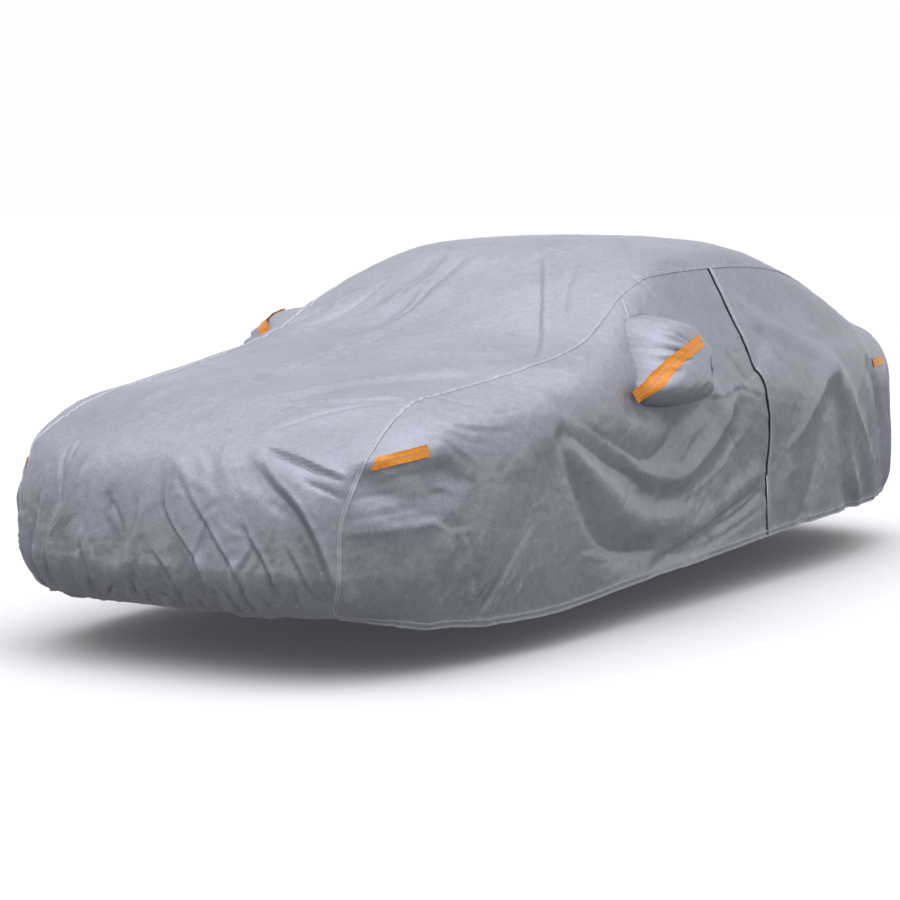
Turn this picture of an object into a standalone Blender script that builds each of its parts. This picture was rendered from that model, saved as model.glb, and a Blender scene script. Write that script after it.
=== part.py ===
import math

import bmesh
import bpy
import numpy as np
from mathutils import Vector
from mathutils.bvhtree import BVHTree

# Fitted outdoor cover, standing in the shape it takes when it is pulled on.
# +X is the front, +Y the left side, +Z up.  Metres.
# Heights in the tables are above the ground; the finished solids are moved so
# that the origin lies just under the highest point of the roof.

# ---------------------------------------------------------------- sizes
COVER_LENGTH = 4.95
COVER_WIDTH = 1.93
CLOTH = 0.002            # cloth thickness
EDGE_GAP = 0.0002        # every sewn edge is drawn back by this much
HEM_BAND = 0.026         # width of the turned-up hem
HEM_RISE = 0.0014        # extra height of the doubled hem
HEM_STEP = 0.003         # the rise falls away over this width
ROOF_X = -0.40           # station of the highest point of the roof

# Top line of the cover on its middle plane.
TOP_LINE = [
    # x from the middle, height
    (2.95, 0.300),
    (2.60, 0.610),
    (2.375, 0.752),
    (1.975, 0.912),
    (1.525, 0.978),
    (1.125, 1.040),
    (0.775, 1.116),
    (0.425, 1.272),
    (0.025, 1.420),
    (-0.375, 1.455),
    (-0.875, 1.428),
    (-1.375, 1.282),
    (-1.775, 1.118),
    (-2.145, 1.062),
    (-2.45, 1.030),
    (-2.95, 0.900),
]

CROWN_DROP = 0.058       # fall of the top line at 0.8 m from the middle
CROWN_POWER = 2.2
BELT_HEIGHT = 0.865      # the sides lean inwards above this height
SIDE_LEAN = 0.60
BELT_SOFT = 0.05
NOSE_POWER = 4.6         # squareness of the plan at the front
TAIL_POWER = 4.2         # and at the back
NOSE_LEAN = 0.27
NOSE_LEAN_FROM = 0.55
TAIL_LEAN = 0.16
TAIL_LEAN_FROM = 0.75
END_SOFT = 0.06
TUCK_HEIGHT = 0.37       # the elastic pulls the ends in below this height
TUCK_IN = 2.1
TUCK_POWER = 1.6
SILL_HEIGHT = 0.45
SILL_IN = 0.16
SHOULDER_SOFT = 0.045    # softness of the edge between top and sides
PLAN_SCALE = 0.9


def smooth_table(value, table):
    """Cubic curve through the rows (position, amount) of a table."""
    rows = np.array(sorted(table), dtype=float)
    xs = rows[:, 0]
    ys = rows[:, 1]
    slope = np.gradient(ys, xs)
    v = np.clip(value, xs[0], xs[-1])
    i = np.clip(np.searchsorted(xs, v) - 1, 0, len(xs) - 2)
    h = xs[i + 1] - xs[i]
    t = (v - xs[i]) / h
    t2 = t * t
    t3 = t2 * t
    return (
        (2 * t3 - 3 * t2 + 1) * ys[i]
        + (t3 - 2 * t2 + t) * h * slope[i]
        + (-2 * t3 + 3 * t2) * ys[i + 1]
        + (t3 - t2) * h * slope[i + 1]
    )


def soft_over(value, softness):
    """The part of a value above zero, with a rounded start."""
    return np.logaddexp(0.0, value / softness) * softness


def soft_lower(a, b, softness):
    """The lower of two values, rounded where they cross."""
    return -softness * np.logaddexp(-a / softness, -b / softness)


def body_depth(p):
    """Depth below the plain shape of the cover; zero on it, positive inside."""
    x = p[..., 0]
    y = p[..., 1]
    z = p[..., 2]
    ay = np.sqrt(y * y + 1e-4)
    crown = CROWN_DROP * (ay / 0.8) ** CROWN_POWER
    top = smooth_table(x, TOP_LINE) - crown - z
    half_width = COVER_WIDTH / 2 - SIDE_LEAN * soft_over(z - BELT_HEIGHT, BELT_SOFT)
    half_width = half_width - SILL_IN * np.maximum(SILL_HEIGHT - z, 0) ** 1.5
    front = x > 0
    lean = np.where(front, NOSE_LEAN, TAIL_LEAN)
    lean_from = np.where(front, NOSE_LEAN_FROM, TAIL_LEAN_FROM)
    half_length = COVER_LENGTH / 2 - lean * soft_over(z - lean_from, END_SOFT)
    half_length = half_length - TUCK_IN * np.maximum(TUCK_HEIGHT - z, 0) ** TUCK_POWER
    power = np.where(front, NOSE_POWER, TAIL_POWER)
    reach = (np.abs(x) / half_length) ** power + (ay / half_width) ** power
    plan = (1 - reach ** (1 / power)) * half_width * PLAN_SCALE
    return soft_lower(top, plan, SHOULDER_SOFT)


def body_slope(p, step=1e-4):
    """Gradient of body_depth by differences."""
    out = np.zeros(p.shape)
    for axis in range(3):
        move = np.zeros(3)
        move[axis] = step
        out[..., axis] = (body_depth(p + move) - body_depth(p - move)) / (2 * step)
    return out


def outward(p):
    """Unit vector pointing out of the plain shape."""
    g = -body_slope(p)
    return g / np.maximum(np.linalg.norm(g, axis=-1, keepdims=True), 1e-9)


SETTLE_ROUNDS = 14
LAY_ROUNDS = 24          # for points that start far off the shape
LONGEST_STEP = 0.12
LEAST_SLOPE = 0.01
LEAST_RATE = 0.15


def settle(p, along=None, rounds=SETTLE_ROUNDS):
    """Move points on to the plain shape, along given directions or straight out."""
    q = np.array(p, dtype=float)
    for _ in range(rounds):
        depth = body_depth(q)
        slope = body_slope(q)
        if along is None:
            size = np.maximum((slope * slope).sum(-1), LEAST_SLOPE)
            step = -(depth / size)[..., None] * slope
        else:
            rate = (slope * along).sum(-1)
            rate = np.where(np.abs(rate) < LEAST_RATE, -LEAST_RATE, rate)
            step = -(depth / rate)[..., None] * along
        size = np.linalg.norm(step, axis=-1, keepdims=True)
        q = q + step * np.minimum(1.0, LONGEST_STEP / np.maximum(size, 1e-9))
    return q


# ---------------------------------------------------------------- edges of the panels
# The long seam between the middle panel and a side panel, left side, from the
# front hem over the top to the rear hem.  The right seam is its mirror image.
SEAM = [
    # x, y, height
    (2.290, 0.625, 0.200),
    (2.350, 0.678, 0.390),
    (2.340, 0.688, 0.555),
    (2.290, 0.698, 0.650),
    (2.195, 0.700, 0.755),
    (2.071, 0.682, 0.828),
    (1.955, 0.662, 0.872),
    (1.840, 0.645, 0.902),
    (1.620, 0.656, 0.927),
    (1.388, 0.681, 0.956),
    (1.145, 0.705, 0.990),
    (0.943, 0.718, 1.025),
    (0.710, 0.718, 1.089),
    (0.557, 0.700, 1.159),
    (0.412, 0.682, 1.224),
    (0.222, 0.677, 1.286),
    (0.022, 0.684, 1.309),
    (-0.306, 0.683, 1.323),
    (-0.701, 0.680, 1.325),
    (-1.060, 0.676, 1.300),
    (-1.320, 0.676, 1.258),
    (-1.600, 0.690, 1.150),
    (-1.850, 0.700, 1.075),
    (-2.080, 0.702, 1.020),
    (-2.240, 0.700, 0.930),
    (-2.330, 0.698, 0.800),
    (-2.365, 0.690, 0.620),
    (-2.365, 0.680, 0.430),
    (-2.290, 0.650, 0.230),
]
FRONT_CORNER_X = 1.955   # where the seam leaves the front corner for the top
REAR_CORNER_X = -2.080

# Lower edge of a side panel, left side, from the front corner to the rear one.
HEM = [
    # x, y, height
    (2.290, 0.625, 0.200),
    (2.160, 0.740, 0.172),
    (1.960, 0.840, 0.146),
    (1.770, 0.880, 0.134),
    (1.340, 0.930, 0.128),
    (0.800, 0.950, 0.155),
    (0.200, 0.955, 0.178),
    (-0.400, 0.955, 0.205),
    (-1.000, 0.945, 0.226),
    (-1.500, 0.920, 0.232),
    (-1.850, 0.870, 0.238),
    (-2.100, 0.780, 0.238),
    (-2.290, 0.650, 0.230),
]
END_HEM_DIP = 0.006      # the end hems hang this much lower in their middle

# The zip line, from the long seam down to the lower edge, left side.
ZIP = [
    # x, y, height
    (-0.358, 0.680, 1.318),
    (-0.330, 0.790, 1.152),
    (-0.325, 0.885, 0.990),
    (-0.365, 0.950, 0.824),
    (-0.400, 0.960, 0.657),
    (-0.395, 0.960, 0.450),
    (-0.425, 0.945, 0.206),
]
ZIP_CHAIN_WIDTH = 0.010
ZIP_CHAIN_SINK = 0.0012
ZIP_FLAP_WIDTH = 0.026
ZIP_FLAP_RISE = 0.0016

# Numbers of cells along the edges.
FRONT_CELLS = 12         # up the front corner
REAR_CELLS = 12
TOP_FRONT_CELLS = 32     # seam from the front corner to the zip
TOP_REAR_CELLS = 22      # and from the zip to the rear corner
ACROSS_CELLS = 20        # across the middle panel
SIDE_CELLS = 12          # up a side panel

# ---------------------------------------------------------------- folds
# A fold follows a path in the plane of its face.  "ridge" stands out, "crease"
# sinks in, and "tuck" stands out on the left of its path and sinks on the right.
FACES = {
    # face: first axis, second axis, axis it is laid on along, start value
    "front": (1, 2, 0, 2.60),
    "rear": (1, 2, 0, -2.60),
    "left": (0, 2, 1, 1.10),
    "right": (0, 2, 1, -1.10),
    "top": (0, 1, 2, 1.60),
}
FRONT_FOLDS = [
    # kind, half width, depth at the start and the end, path of (y, height)
    ("tuck", 0.050, 0.006, 0.020, [(-0.36, 0.70), (-0.40, 0.56), (-0.46, 0.44), (-0.48, 0.24)]),
    ("crease", 0.045, 0.018, 0.006, [(-0.20, 0.57), (-0.20, 0.51), (-0.13, 0.40)]),
    ("tuck", 0.050, 0.004, 0.016, [(-0.06, 0.64), (-0.08, 0.52), (-0.13, 0.38)]),
    ("tuck", 0.055, 0.004, 0.018, [(0.03, 0.66), (0.07, 0.55), (0.16, 0.42), (0.23, 0.26)]),
    ("ridge", 0.060, 0.010, 0.004, [(0.06, 0.70), (0.22, 0.55), (0.34, 0.42)]),
    ("crease", 0.050, 0.004, 0.016, [(0.36, 0.58), (0.44, 0.44), (0.48, 0.25)]),
    ("ridge", 0.060, 0.004, 0.014, [(0.30, 0.50), (0.34, 0.36), (0.34, 0.24)]),
    ("tuck", 0.055, 0.010, 0.022, [(0.36, 0.71), (0.47, 0.66), (0.56, 0.58), (0.62, 0.42), (0.65, 0.28)]),
    ("ridge", 0.055, 0.012, 0.006, [(-0.28, 0.42), (-0.30, 0.26)]),
    ("crease", 0.045, 0.010, 0.012, [(-0.56, 0.52), (-0.60, 0.36), (-0.60, 0.24)]),
    ("ridge", 0.110, 0.010, 0.010, [(-0.62, 0.70), (-0.20, 0.72), (0.25, 0.72), (0.62, 0.70)]),
]
REAR_FOLDS = [
    ("tuck", 0.055, 0.006, 0.018, [(-0.50, 0.80), (-0.46, 0.58), (-0.52, 0.30)]),
    ("ridge", 0.060, 0.004, 0.014, [(-0.22, 0.70), (-0.26, 0.48), (-0.22, 0.27)]),
    ("crease", 0.050, 0.006, 0.014, [(0.00, 0.66), (0.05, 0.46), (0.02, 0.27)]),
    ("tuck", 0.050, 0.004, 0.016, [(0.30, 0.78), (0.24, 0.54), (0.30, 0.28)]),
    ("ridge", 0.060, 0.006, 0.012, [(0.52, 0.74), (0.56, 0.50), (0.50, 0.27)]),
    ("ridge", 0.140, 0.005, 0.005, [(-0.60, 0.84), (0.00, 0.88), (0.60, 0.84)]),
]
SIDE_FOLDS = [
    # kind, half width, depth at the start and the end, path of (x, height)
    ("ridge", 0.085, 0.016, 0.008, [(1.38, 0.79), (1.62, 0.70), (1.75, 0.56), (1.84, 0.30)]),
    ("tuck", 0.055, 0.012, 0.010, [(1.58, 0.44), (1.66, 0.32), (1.76, 0.18)]),
    ("crease", 0.055, 0.020, 0.014, [(1.34, 0.74), (1.22, 0.58), (1.10, 0.42), (0.90, 0.30), (0.45, 0.28)]),
    ("crease", 0.050, 0.016, 0.018, [(1.29, 0.77), (1.08, 0.68), (0.86, 0.59), (0.68, 0.49)]),
    ("crease", 0.050, 0.010, 0.016, [(1.28, 0.86), (1.08, 0.76), (0.84, 0.67), (0.66, 0.62), (0.44, 0.71)]),
    ("ridge", 0.055, 0.008, 0.016, [(1.22, 0.81), (0.96, 0.70), (0.74, 0.60), (0.42, 0.53), (0.18, 0.62),
                                    (-0.02, 0.80)]),
    ("ridge", 0.065, 0.014, 0.012, [(1.26, 0.70), (1.02, 0.54), (0.74, 0.40), (0.36, 0.40), (0.04, 0.54)]),
    ("crease", 0.055, 0.014, 0.008, [(0.54, 0.46), (0.30, 0.44), (0.06, 0.56), (-0.14, 0.76)]),
    ("tuck", 0.055, 0.012, 0.008, [(0.56, 0.24), (0.18, 0.31), (-0.30, 0.44)]),
    ("crease", 0.055, 0.018, 0.010, [(0.78, 0.85), (0.58, 0.78), (0.38, 0.76), (0.20, 0.80)]),
    ("ridge", 0.050, 0.010, 0.006, [(0.10, 0.84), (0.02, 0.66), (0.06, 0.46)]),
    ("ridge", 0.070, 0.018, 0.010, [(-1.09, 0.87), (-0.88, 0.76), (-0.70, 0.60), (-0.56, 0.38)]),
    ("ridge", 0.070, 0.014, 0.012, [(-1.12, 0.86), (-1.30, 0.70), (-1.50, 0.48), (-1.66, 0.28)]),
    ("crease", 0.060, 0.010, 0.018, [(-1.02, 0.78), (-0.96, 0.58), (-0.86, 0.38), (-0.80, 0.26)]),
    ("tuck", 0.060, 0.008, 0.016, [(-1.18, 0.76), (-1.24, 0.56), (-1.28, 0.38), (-1.40, 0.26)]),
    ("crease", 0.055, 0.012, 0.012, [(-1.62, 0.84), (-1.76, 0.62), (-1.86, 0.36)]),
    ("ridge", 0.055, 0.008, 0.012, [(-1.86, 0.80), (-1.96, 0.56), (-1.98, 0.32)]),
    ("crease", 0.050, 0.014, 0.006, [(-0.52, 1.03), (-0.36, 0.94), (-0.20, 0.89), (-0.12, 0.96)]),
    ("ridge", 0.060, 0.008, 0.008, [(-0.60, 1.10), (-0.90, 0.98), (-1.25, 0.94), (-1.60, 0.94)]),
    ("crease", 0.060, 0.010, 0.008, [(2.24, 0.64), (2.12, 0.60), (1.96, 0.64)]),
    ("ridge", 0.050, 0.012, 0.008, [(2.28, 0.54), (2.14, 0.52), (1.98, 0.57)]),
    ("tuck", 0.050, 0.010, 0.006, [(2.24, 0.70), (2.14, 0.71), (1.98, 0.73)]),
    ("ridge", 0.060, 0.010, 0.014, [(2.02, 0.44), (2.04, 0.32), (2.02, 0.20)]),
    ("crease", 0.240, 0.014, 0.014, [(0.90, 0.44), (-0.50, 0.46)]),
]
TOP_FOLDS = [
    # kind, half width, depth at the start and the end, path of (x, y)
    ("ridge", 0.060, 0.006, 0.004, [(2.21, 0.30), (2.09, 0.40), (1.96, 0.50), (1.84, 0.56)]),
    ("tuck", 0.060, 0.007, 0.005, [(1.80, -0.06), (1.55, -0.10), (1.36, -0.07), (1.10, -0.12),
                                   (0.90, -0.12)]),
    ("crease", 0.060, 0.006, 0.006, [(0.16, 0.20), (0.64, 0.46), (1.00, 0.62)]),
    ("crease", 0.060, 0.006, 0.006, [(0.16, -0.22), (0.62, -0.44), (1.02, -0.60)]),
    ("tuck", 0.060, 0.006, 0.006, [(0.19, -0.27), (0.43, -0.25), (0.62, -0.31)]),
    ("tuck", 0.060, 0.006, 0.006, [(0.26, -0.12), (0.52, -0.13), (0.76, -0.15)]),
    ("ridge", 0.060, 0.005, 0.005, [(1.04, 0.54), (1.14, 0.20), (1.10, -0.20), (1.02, -0.54)]),
    ("ridge", 0.060, 0.004, 0.004, [(-0.36, 0.30), (0.08, 0.54)]),
    ("crease", 0.070, 0.006, 0.005, [(-1.10, 0.36), (-1.40, 0.30), (-1.72, 0.40)]),
    ("crease", 0.070, 0.006, 0.005, [(-1.06, -0.40), (-1.42, -0.26), (-1.76, -0.36)]),
    ("tuck", 0.060, 0.005, 0.005, [(1.90, 0.24), (1.66, 0.34), (1.40, 0.52)]),
    ("tuck", 0.060, 0.005, 0.005, [(2.00, -0.34), (1.70, -0.40), (1.40, -0.56)]),
    ("ridge", 0.070, 0.006, 0.004, [(-1.80, 0.50), (-1.90, 0.10), (-1.86, -0.46)]),
]
FOLD_STRENGTH = 1.40     # all fold depths are taken this much larger
FOLD_REACH = 2.6         # a fold is felt this many half widths away
RIGHT_SHIFT = -0.05      # the right side's folds lie this much further back
SHIFT_END = 2.4          # but not as far as here
RIGHT_SHARE = 0.85       # and are this much shallower
TUCK_SHARE = 2.3         # brings the two sides of a tuck to its full depth
PATH_POINTS = 15


def smooth_path(points, count):
    """Evenly spaced points on a smooth curve through the given ones."""
    pts = np.array(points, dtype=float)
    gaps = np.linalg.norm(np.diff(pts, axis=0), axis=1)
    place = np.concatenate([[0.0], np.cumsum(gaps)])
    where = np.linspace(0.0, place[-1], count)
    columns = []
    for axis in range(pts.shape[1]):
        columns.append(smooth_table(where, list(zip(place, pts[:, axis]))))
    return np.stack(columns, axis=1)


def lay_path(face, points, count=PATH_POINTS):
    """Lay a path drawn in the plane of a face on to the plain shape."""
    first, second, laid, start = FACES[face]
    flat = smooth_path(points, count)
    path = np.zeros((count, 3))
    path[:, first] = flat[:, 0]
    path[:, second] = flat[:, 1]
    path[:, laid] = start
    along = np.zeros((count, 3))
    along[:, laid] = math.copysign(1.0, start)
    return settle(path, along, LAY_ROUNDS)


def make_folds():
    """All folds as laid paths with their kind, width and depths."""
    folds = []
    tables = {"front": FRONT_FOLDS, "rear": REAR_FOLDS, "left": SIDE_FOLDS, "top": TOP_FOLDS}
    for face, table in tables.items():
        for kind, width, first, last, points in table:
            folds.append((kind, width, first, last, lay_path(face, points)))
    for kind, width, first, last, points in SIDE_FOLDS:
        moved = [(x + RIGHT_SHIFT * (1 - abs(x) / SHIFT_END), z) for x, z in points]
        side = {"tuck": "tuck_back"}.get(kind, kind)
        folds.append((side, width, first * RIGHT_SHARE, last * RIGHT_SHARE, lay_path("right", moved)))
    return folds


def fold_height(p, normal, folds):
    """Height of the folds above the plain shape at points of it."""
    height = np.zeros(len(p))
    for kind, width, first, last, path in folds:
        reach = FOLD_REACH * width
        near = np.all((p > path.min(0) - reach) & (p < path.max(0) + reach), axis=1)
        if not near.any():
            continue
        q = p[near]
        a = path[:-1]
        run = path[1:] - a
        size = (run * run).sum(-1)
        t = ((q[:, None, :] - a) * run).sum(-1) / size
        t = np.clip(t, 0.0, 1.0)
        away = q[:, None, :] - (a + t[..., None] * run)
        far = np.linalg.norm(away, axis=-1)
        best = far.argmin(1)
        rows = np.arange(len(q))
        share = (best + t[rows, best]) / len(run)
        depth = first + (last - first) * share
        u = far[rows, best] / width
        bump = np.exp(-u * u)
        if kind == "crease":
            bump = -bump
        elif kind.startswith("tuck"):
            across = np.cross(normal[near], run[best])
            across /= np.linalg.norm(across, axis=1, keepdims=True)
            side = (away[rows, best] * across).sum(-1) / width
            if kind == "tuck_back":
                side = -side
            bump = TUCK_SHARE * side * bump
        height[near] += depth * bump
    return height * FOLD_STRENGTH


def skin(p, folds, rise=0.0, step=0.006):
    """Outer skin over plain points, with its own normals."""
    shape = p.shape
    flat = p.reshape(-1, 3)
    normal = outward(flat)
    helper = np.where(np.abs(normal[:, :1]) < 0.8, [[1.0, 0.0, 0.0]], [[0.0, 1.0, 0.0]])
    first = np.cross(normal, helper)
    first /= np.linalg.norm(first, axis=1, keepdims=True)
    second = np.cross(normal, first)
    height = fold_height(flat, normal, folds)
    tilt = np.zeros(flat.shape)
    for way in (first, second):
        ahead = fold_height(flat + way * step, normal, folds)
        behind = fold_height(flat - way * step, normal, folds)
        tilt += ((ahead - behind) / (2 * step))[:, None] * way
    turned = normal - tilt
    turned /= np.linalg.norm(turned, axis=1, keepdims=True)
    outer = flat + normal * (height + np.broadcast_to(rise, shape[:-1]).reshape(-1))[:, None]
    return outer.reshape(shape), turned.reshape(shape)


# ---------------------------------------------------------------- grids of plain points
POINTS_PER_ROW = 40


def curve_through(table):
    """Dense curve on the plain shape through the rows of a table."""
    dense = smooth_path(table, POINTS_PER_ROW * len(table))
    return settle(dense)


def cut_even(curve, cells):
    """Even stations along a dense curve."""
    gaps = np.linalg.norm(np.diff(curve, axis=0), axis=1)
    place = np.concatenate([[0.0], np.cumsum(gaps)])
    where = np.linspace(0.0, place[-1], cells + 1)
    return np.stack([np.interp(where, place, curve[:, k]) for k in range(3)], axis=1)


def nearest(curve, point):
    """Index of the point of a dense curve nearest to a place."""
    return int(np.linalg.norm(curve - point, axis=1).argmin())


def patch(low, high, start, end):
    """Smooth grid of plain points between four edges: [row upwards, column]."""
    rows = len(start)
    cols = len(low)
    v = np.linspace(0.0, 1.0, rows)[:, None, None]
    u = np.linspace(0.0, 1.0, cols)[None, :, None]

    def blend(lo, hi, st, en):
        rim = (1 - v) * lo[None] + v * hi[None] + (1 - u) * st[:, None] + u * en[:, None]
        corners = (1 - v) * ((1 - u) * lo[0] + u * lo[-1]) + v * ((1 - u) * hi[0] + u * hi[-1])
        return rim - corners

    grid = blend(low, high, start, end)
    along = blend(outward(low), outward(high), outward(start), outward(end))
    along /= np.linalg.norm(along, axis=-1, keepdims=True)
    grid[1:-1, 1:-1] = settle(grid[1:-1, 1:-1], along[1:-1, 1:-1])
    return grid


def add_hem_rows(grid):
    """Two more rows just above the lower edge, for the turned-up hem."""
    low = grid[0]
    way = grid[1] - low
    way = way / np.linalg.norm(way, axis=-1, keepdims=True)
    top = settle(low + way * HEM_BAND)
    step = settle(low + way * (HEM_BAND + HEM_STEP))
    return np.concatenate([low[None], top[None], step[None], grid[1:]])


def hem_rise(rows, cols, both_ends=False):
    """Extra height of the doubled hem on the first two rows, or at both ends."""
    rise = np.zeros((rows, cols))
    rise[:2] = HEM_RISE
    if both_ends:
        rise[-2:] = HEM_RISE
    return rise


def draw_back(grid):
    """Draw all four edges of a grid back by the sewing gap."""
    out = grid.copy()
    for near, inner in (
        (np.s_[0], np.s_[1]),
        (np.s_[-1], np.s_[-2]),
        (np.s_[:, 0], np.s_[:, 1]),
        (np.s_[:, -1], np.s_[:, -2]),
    ):
        way = grid[inner] - grid[near]
        way = way / np.linalg.norm(way, axis=-1, keepdims=True)
        out[near] = out[near] + way * EDGE_GAP
    return out


# ---------------------------------------------------------------- build
SHARP_ANGLE = math.radians(40)


def clear_scene():
    for item in list(bpy.data.objects):
        bpy.data.objects.remove(item, do_unlink=True)


def material(name, color, roughness, metallic=0.0):
    mat = bpy.data.materials.get(name) or bpy.data.materials.new(name)
    mat.use_nodes = True
    mat.diffuse_color = (*color, 1.0)
    shader = mat.node_tree.nodes["Principled BSDF"]
    shader.inputs["Base Color"].default_value = (*color, 1.0)
    shader.inputs["Roughness"].default_value = roughness
    shader.inputs["Metallic"].default_value = metallic
    return mat


def split_cells(grid):
    """Triangles of a grid, each cell cut along its shorter diagonal."""
    rows, cols = grid.shape[:2]
    faces = []
    for i in range(rows - 1):
        for j in range(cols - 1):
            a = i * cols + j
            b = a + 1
            c = a + cols + 1
            d = a + cols
            rising = np.linalg.norm(grid[i + 1, j + 1] - grid[i, j])
            falling = np.linalg.norm(grid[i + 1, j] - grid[i, j + 1])
            if rising <= falling:
                faces += [(a, b, c), (a, c, d)]
            else:
                faces += [(a, b, d), (b, c, d)]
    return faces


def grid_rim(rows, cols):
    """Indices round the edge of a grid."""
    rim = [j for j in range(cols)]
    rim += [i * cols + cols - 1 for i in range(1, rows)]
    rim += [(rows - 1) * cols + j for j in range(cols - 2, -1, -1)]
    rim += [i * cols for i in range(rows - 2, 0, -1)]
    return rim


def add_object(name, verts, faces, mat):
    """Closed mesh with its faces turned outwards."""
    mesh = bpy.data.meshes.new(name)
    placed = np.asarray(verts, dtype=float) - ORIGIN
    mesh.from_pydata([tuple(v) for v in placed], [], faces)
    mesh.update()
    body = bmesh.new()
    body.from_mesh(mesh)
    if body.calc_volume(signed=True) < 0:
        bmesh.ops.reverse_faces(body, faces=body.faces)
    body.to_mesh(mesh)
    body.free()
    mesh.shade_smooth()
    mesh.set_sharp_from_angle(angle=SHARP_ANGLE)
    mesh.materials.append(mat)
    item = bpy.data.objects.new(name, mesh)
    bpy.context.collection.objects.link(item)
    return item


def sheet_object(name, outer, inner, mat):
    """Closed sheet between an outer and an inner grid."""
    rows, cols = outer.shape[:2]
    count = rows * cols
    top = split_cells(outer)
    faces = list(top)
    faces += [(c + count, b + count, a + count) for a, b, c in top]
    rim = grid_rim(rows, cols)
    for k, a in enumerate(rim):
        b = rim[(k + 1) % len(rim)]
        faces += [(b, a, a + count), (b, a + count, b + count)]
    verts = np.concatenate([outer.reshape(-1, 3), inner.reshape(-1, 3)])
    return add_object(name, verts, faces, mat)


def cloth_sheet(name, grid, rise, folds, mat):
    """A panel: the folded skin over a grid, one cloth thick."""
    outer, normal = skin(draw_back(grid), folds, rise)
    return sheet_object(name, outer, outer - normal * CLOTH, mat)


def mirrored(curve):
    return curve * np.array([1.0, -1.0, 1.0])


def middle_grid(seam):
    """Plain grid of the middle panel: [station along the seam, left to right]."""
    other = mirrored(seam)
    u = np.linspace(0.0, 1.0, ACROSS_CELLS + 1)[None, :, None]
    grid = (1 - u) * seam[:, None] + u * other[:, None]
    along = (1 - u) * outward(seam)[:, None] + u * outward(other)[:, None]
    along /= np.linalg.norm(along, axis=-1, keepdims=True)
    dip = 4 * u[..., 0] * (1 - u[..., 0]) * END_HEM_DIP
    grid[0, :, 2] -= dip[0]
    grid[-1, :, 2] -= dip[0]
    along[0, :, 2] = 0.0
    along[-1, :, 2] = 0.0
    grid[:, 1:-1] = settle(grid[:, 1:-1], along[:, 1:-1])
    grid = add_hem_rows(grid)
    return add_hem_rows(grid[::-1])[::-1]


# Mirror pocket, left side: its outline on the side, and the top of its bulge.
POCKET_OUTLINE = [
    # x, height
    (0.560, 1.112),
    (0.620, 1.045),
    (0.690, 0.950),
    (0.735, 0.870),
    (0.700, 0.838),
    (0.610, 0.822),
    (0.480, 0.815),
    (0.350, 0.822),
    (0.262, 0.852),
    (0.212, 0.910),
    (0.192, 0.985),
    (0.206, 1.060),
    (0.254, 1.118),
    (0.345, 1.150),
    (0.440, 1.154),
    (0.515, 1.140),
]
POCKET_POINTS = 36
POCKET_RINGS = 6
POCKET_TOP = (0.290, 0.985)
POCKET_BULGE = 0.138
POCKET_FLAT = 3.1        # how flat the outer face of the pocket is
POCKET_SIDE = 0.74       # how steep its side is
POCKET_GAP = 0.0004      # between its rim and the hole
POCKET_ROUNDS = 4        # to bring points of the skin back to their place
POCKET_RING_POWER = 1.5  # draws the rings closer together at the rim
HOLE_FROM = 0.55         # reach of the cutter that makes the hole, from the middle plane
HOLE_TO = 1.30
POCKET_FOLDS = [
    # half width, depth, start angle, end angle, inner share, outer share
    (0.16, 0.007, 0.10, 0.35, 0.30, 1.00),
    (0.16, 0.006, -0.35, -0.20, 0.35, 1.00),
    (0.14, -0.006, 2.70, 2.45, 0.55, 1.00),
    (0.14, -0.006, -1.05, -0.80, 0.50, 1.00),
    (0.12, 0.005, -1.90, -1.70, 0.45, 1.00),
]


def pocket_outline():
    """Even points round the outline: [point, (x, height)]."""
    closed = POCKET_OUTLINE[-3:] + POCKET_OUTLINE + POCKET_OUTLINE[:3]
    dense = smooth_path(closed, POINTS_PER_ROW * len(closed))
    start = np.linalg.norm(dense - np.array(POCKET_OUTLINE[0]), axis=1)
    half = len(dense) // 2
    first = int(start[:half].argmin())
    last = half + int(start[half:].argmin())
    loop = dense[first:last + 1]
    gaps = np.linalg.norm(np.diff(loop, axis=0), axis=1)
    place = np.concatenate([[0.0], np.cumsum(gaps)])
    where = np.linspace(0.0, place[-1], POCKET_POINTS + 1)[:-1]
    return np.stack([np.interp(where, place, loop[:, k]) for k in range(2)], axis=1)


def side_skin(flat, hand, folds):
    """Outer skin of a side over points given as (x, height)."""
    p = np.zeros((len(flat), 3))
    p[:, 0] = flat[:, 0]
    p[:, 1] = hand * FACES["left"][3]
    p[:, 2] = flat[:, 1]
    way = np.zeros(p.shape)
    way[:, 1] = hand
    start = p.copy()
    for _ in range(POCKET_ROUNDS):
        plain = settle(start, way, LAY_ROUNDS)
        outer, turned = skin(plain, folds)
        start = plain + (p - outer) * np.array([1.0, 0.0, 1.0])
    return outer, turned


def pocket_bulge(share, angle):
    """Outward reach of the pocket over its rings."""
    dome = (1 - share ** POCKET_FLAT) ** POCKET_SIDE
    reach = POCKET_BULGE * dome
    for width, depth, start, end, inner, outer in POCKET_FOLDS:
        middle = start + (end - start) * share
        turn = (angle - middle + math.pi) % (2 * math.pi) - math.pi
        along = np.clip((share - inner) / (outer - inner), 0, 1)
        reach = reach + depth * np.exp(-(turn / width) ** 2) * np.sin(math.pi * along)
    return reach


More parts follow.
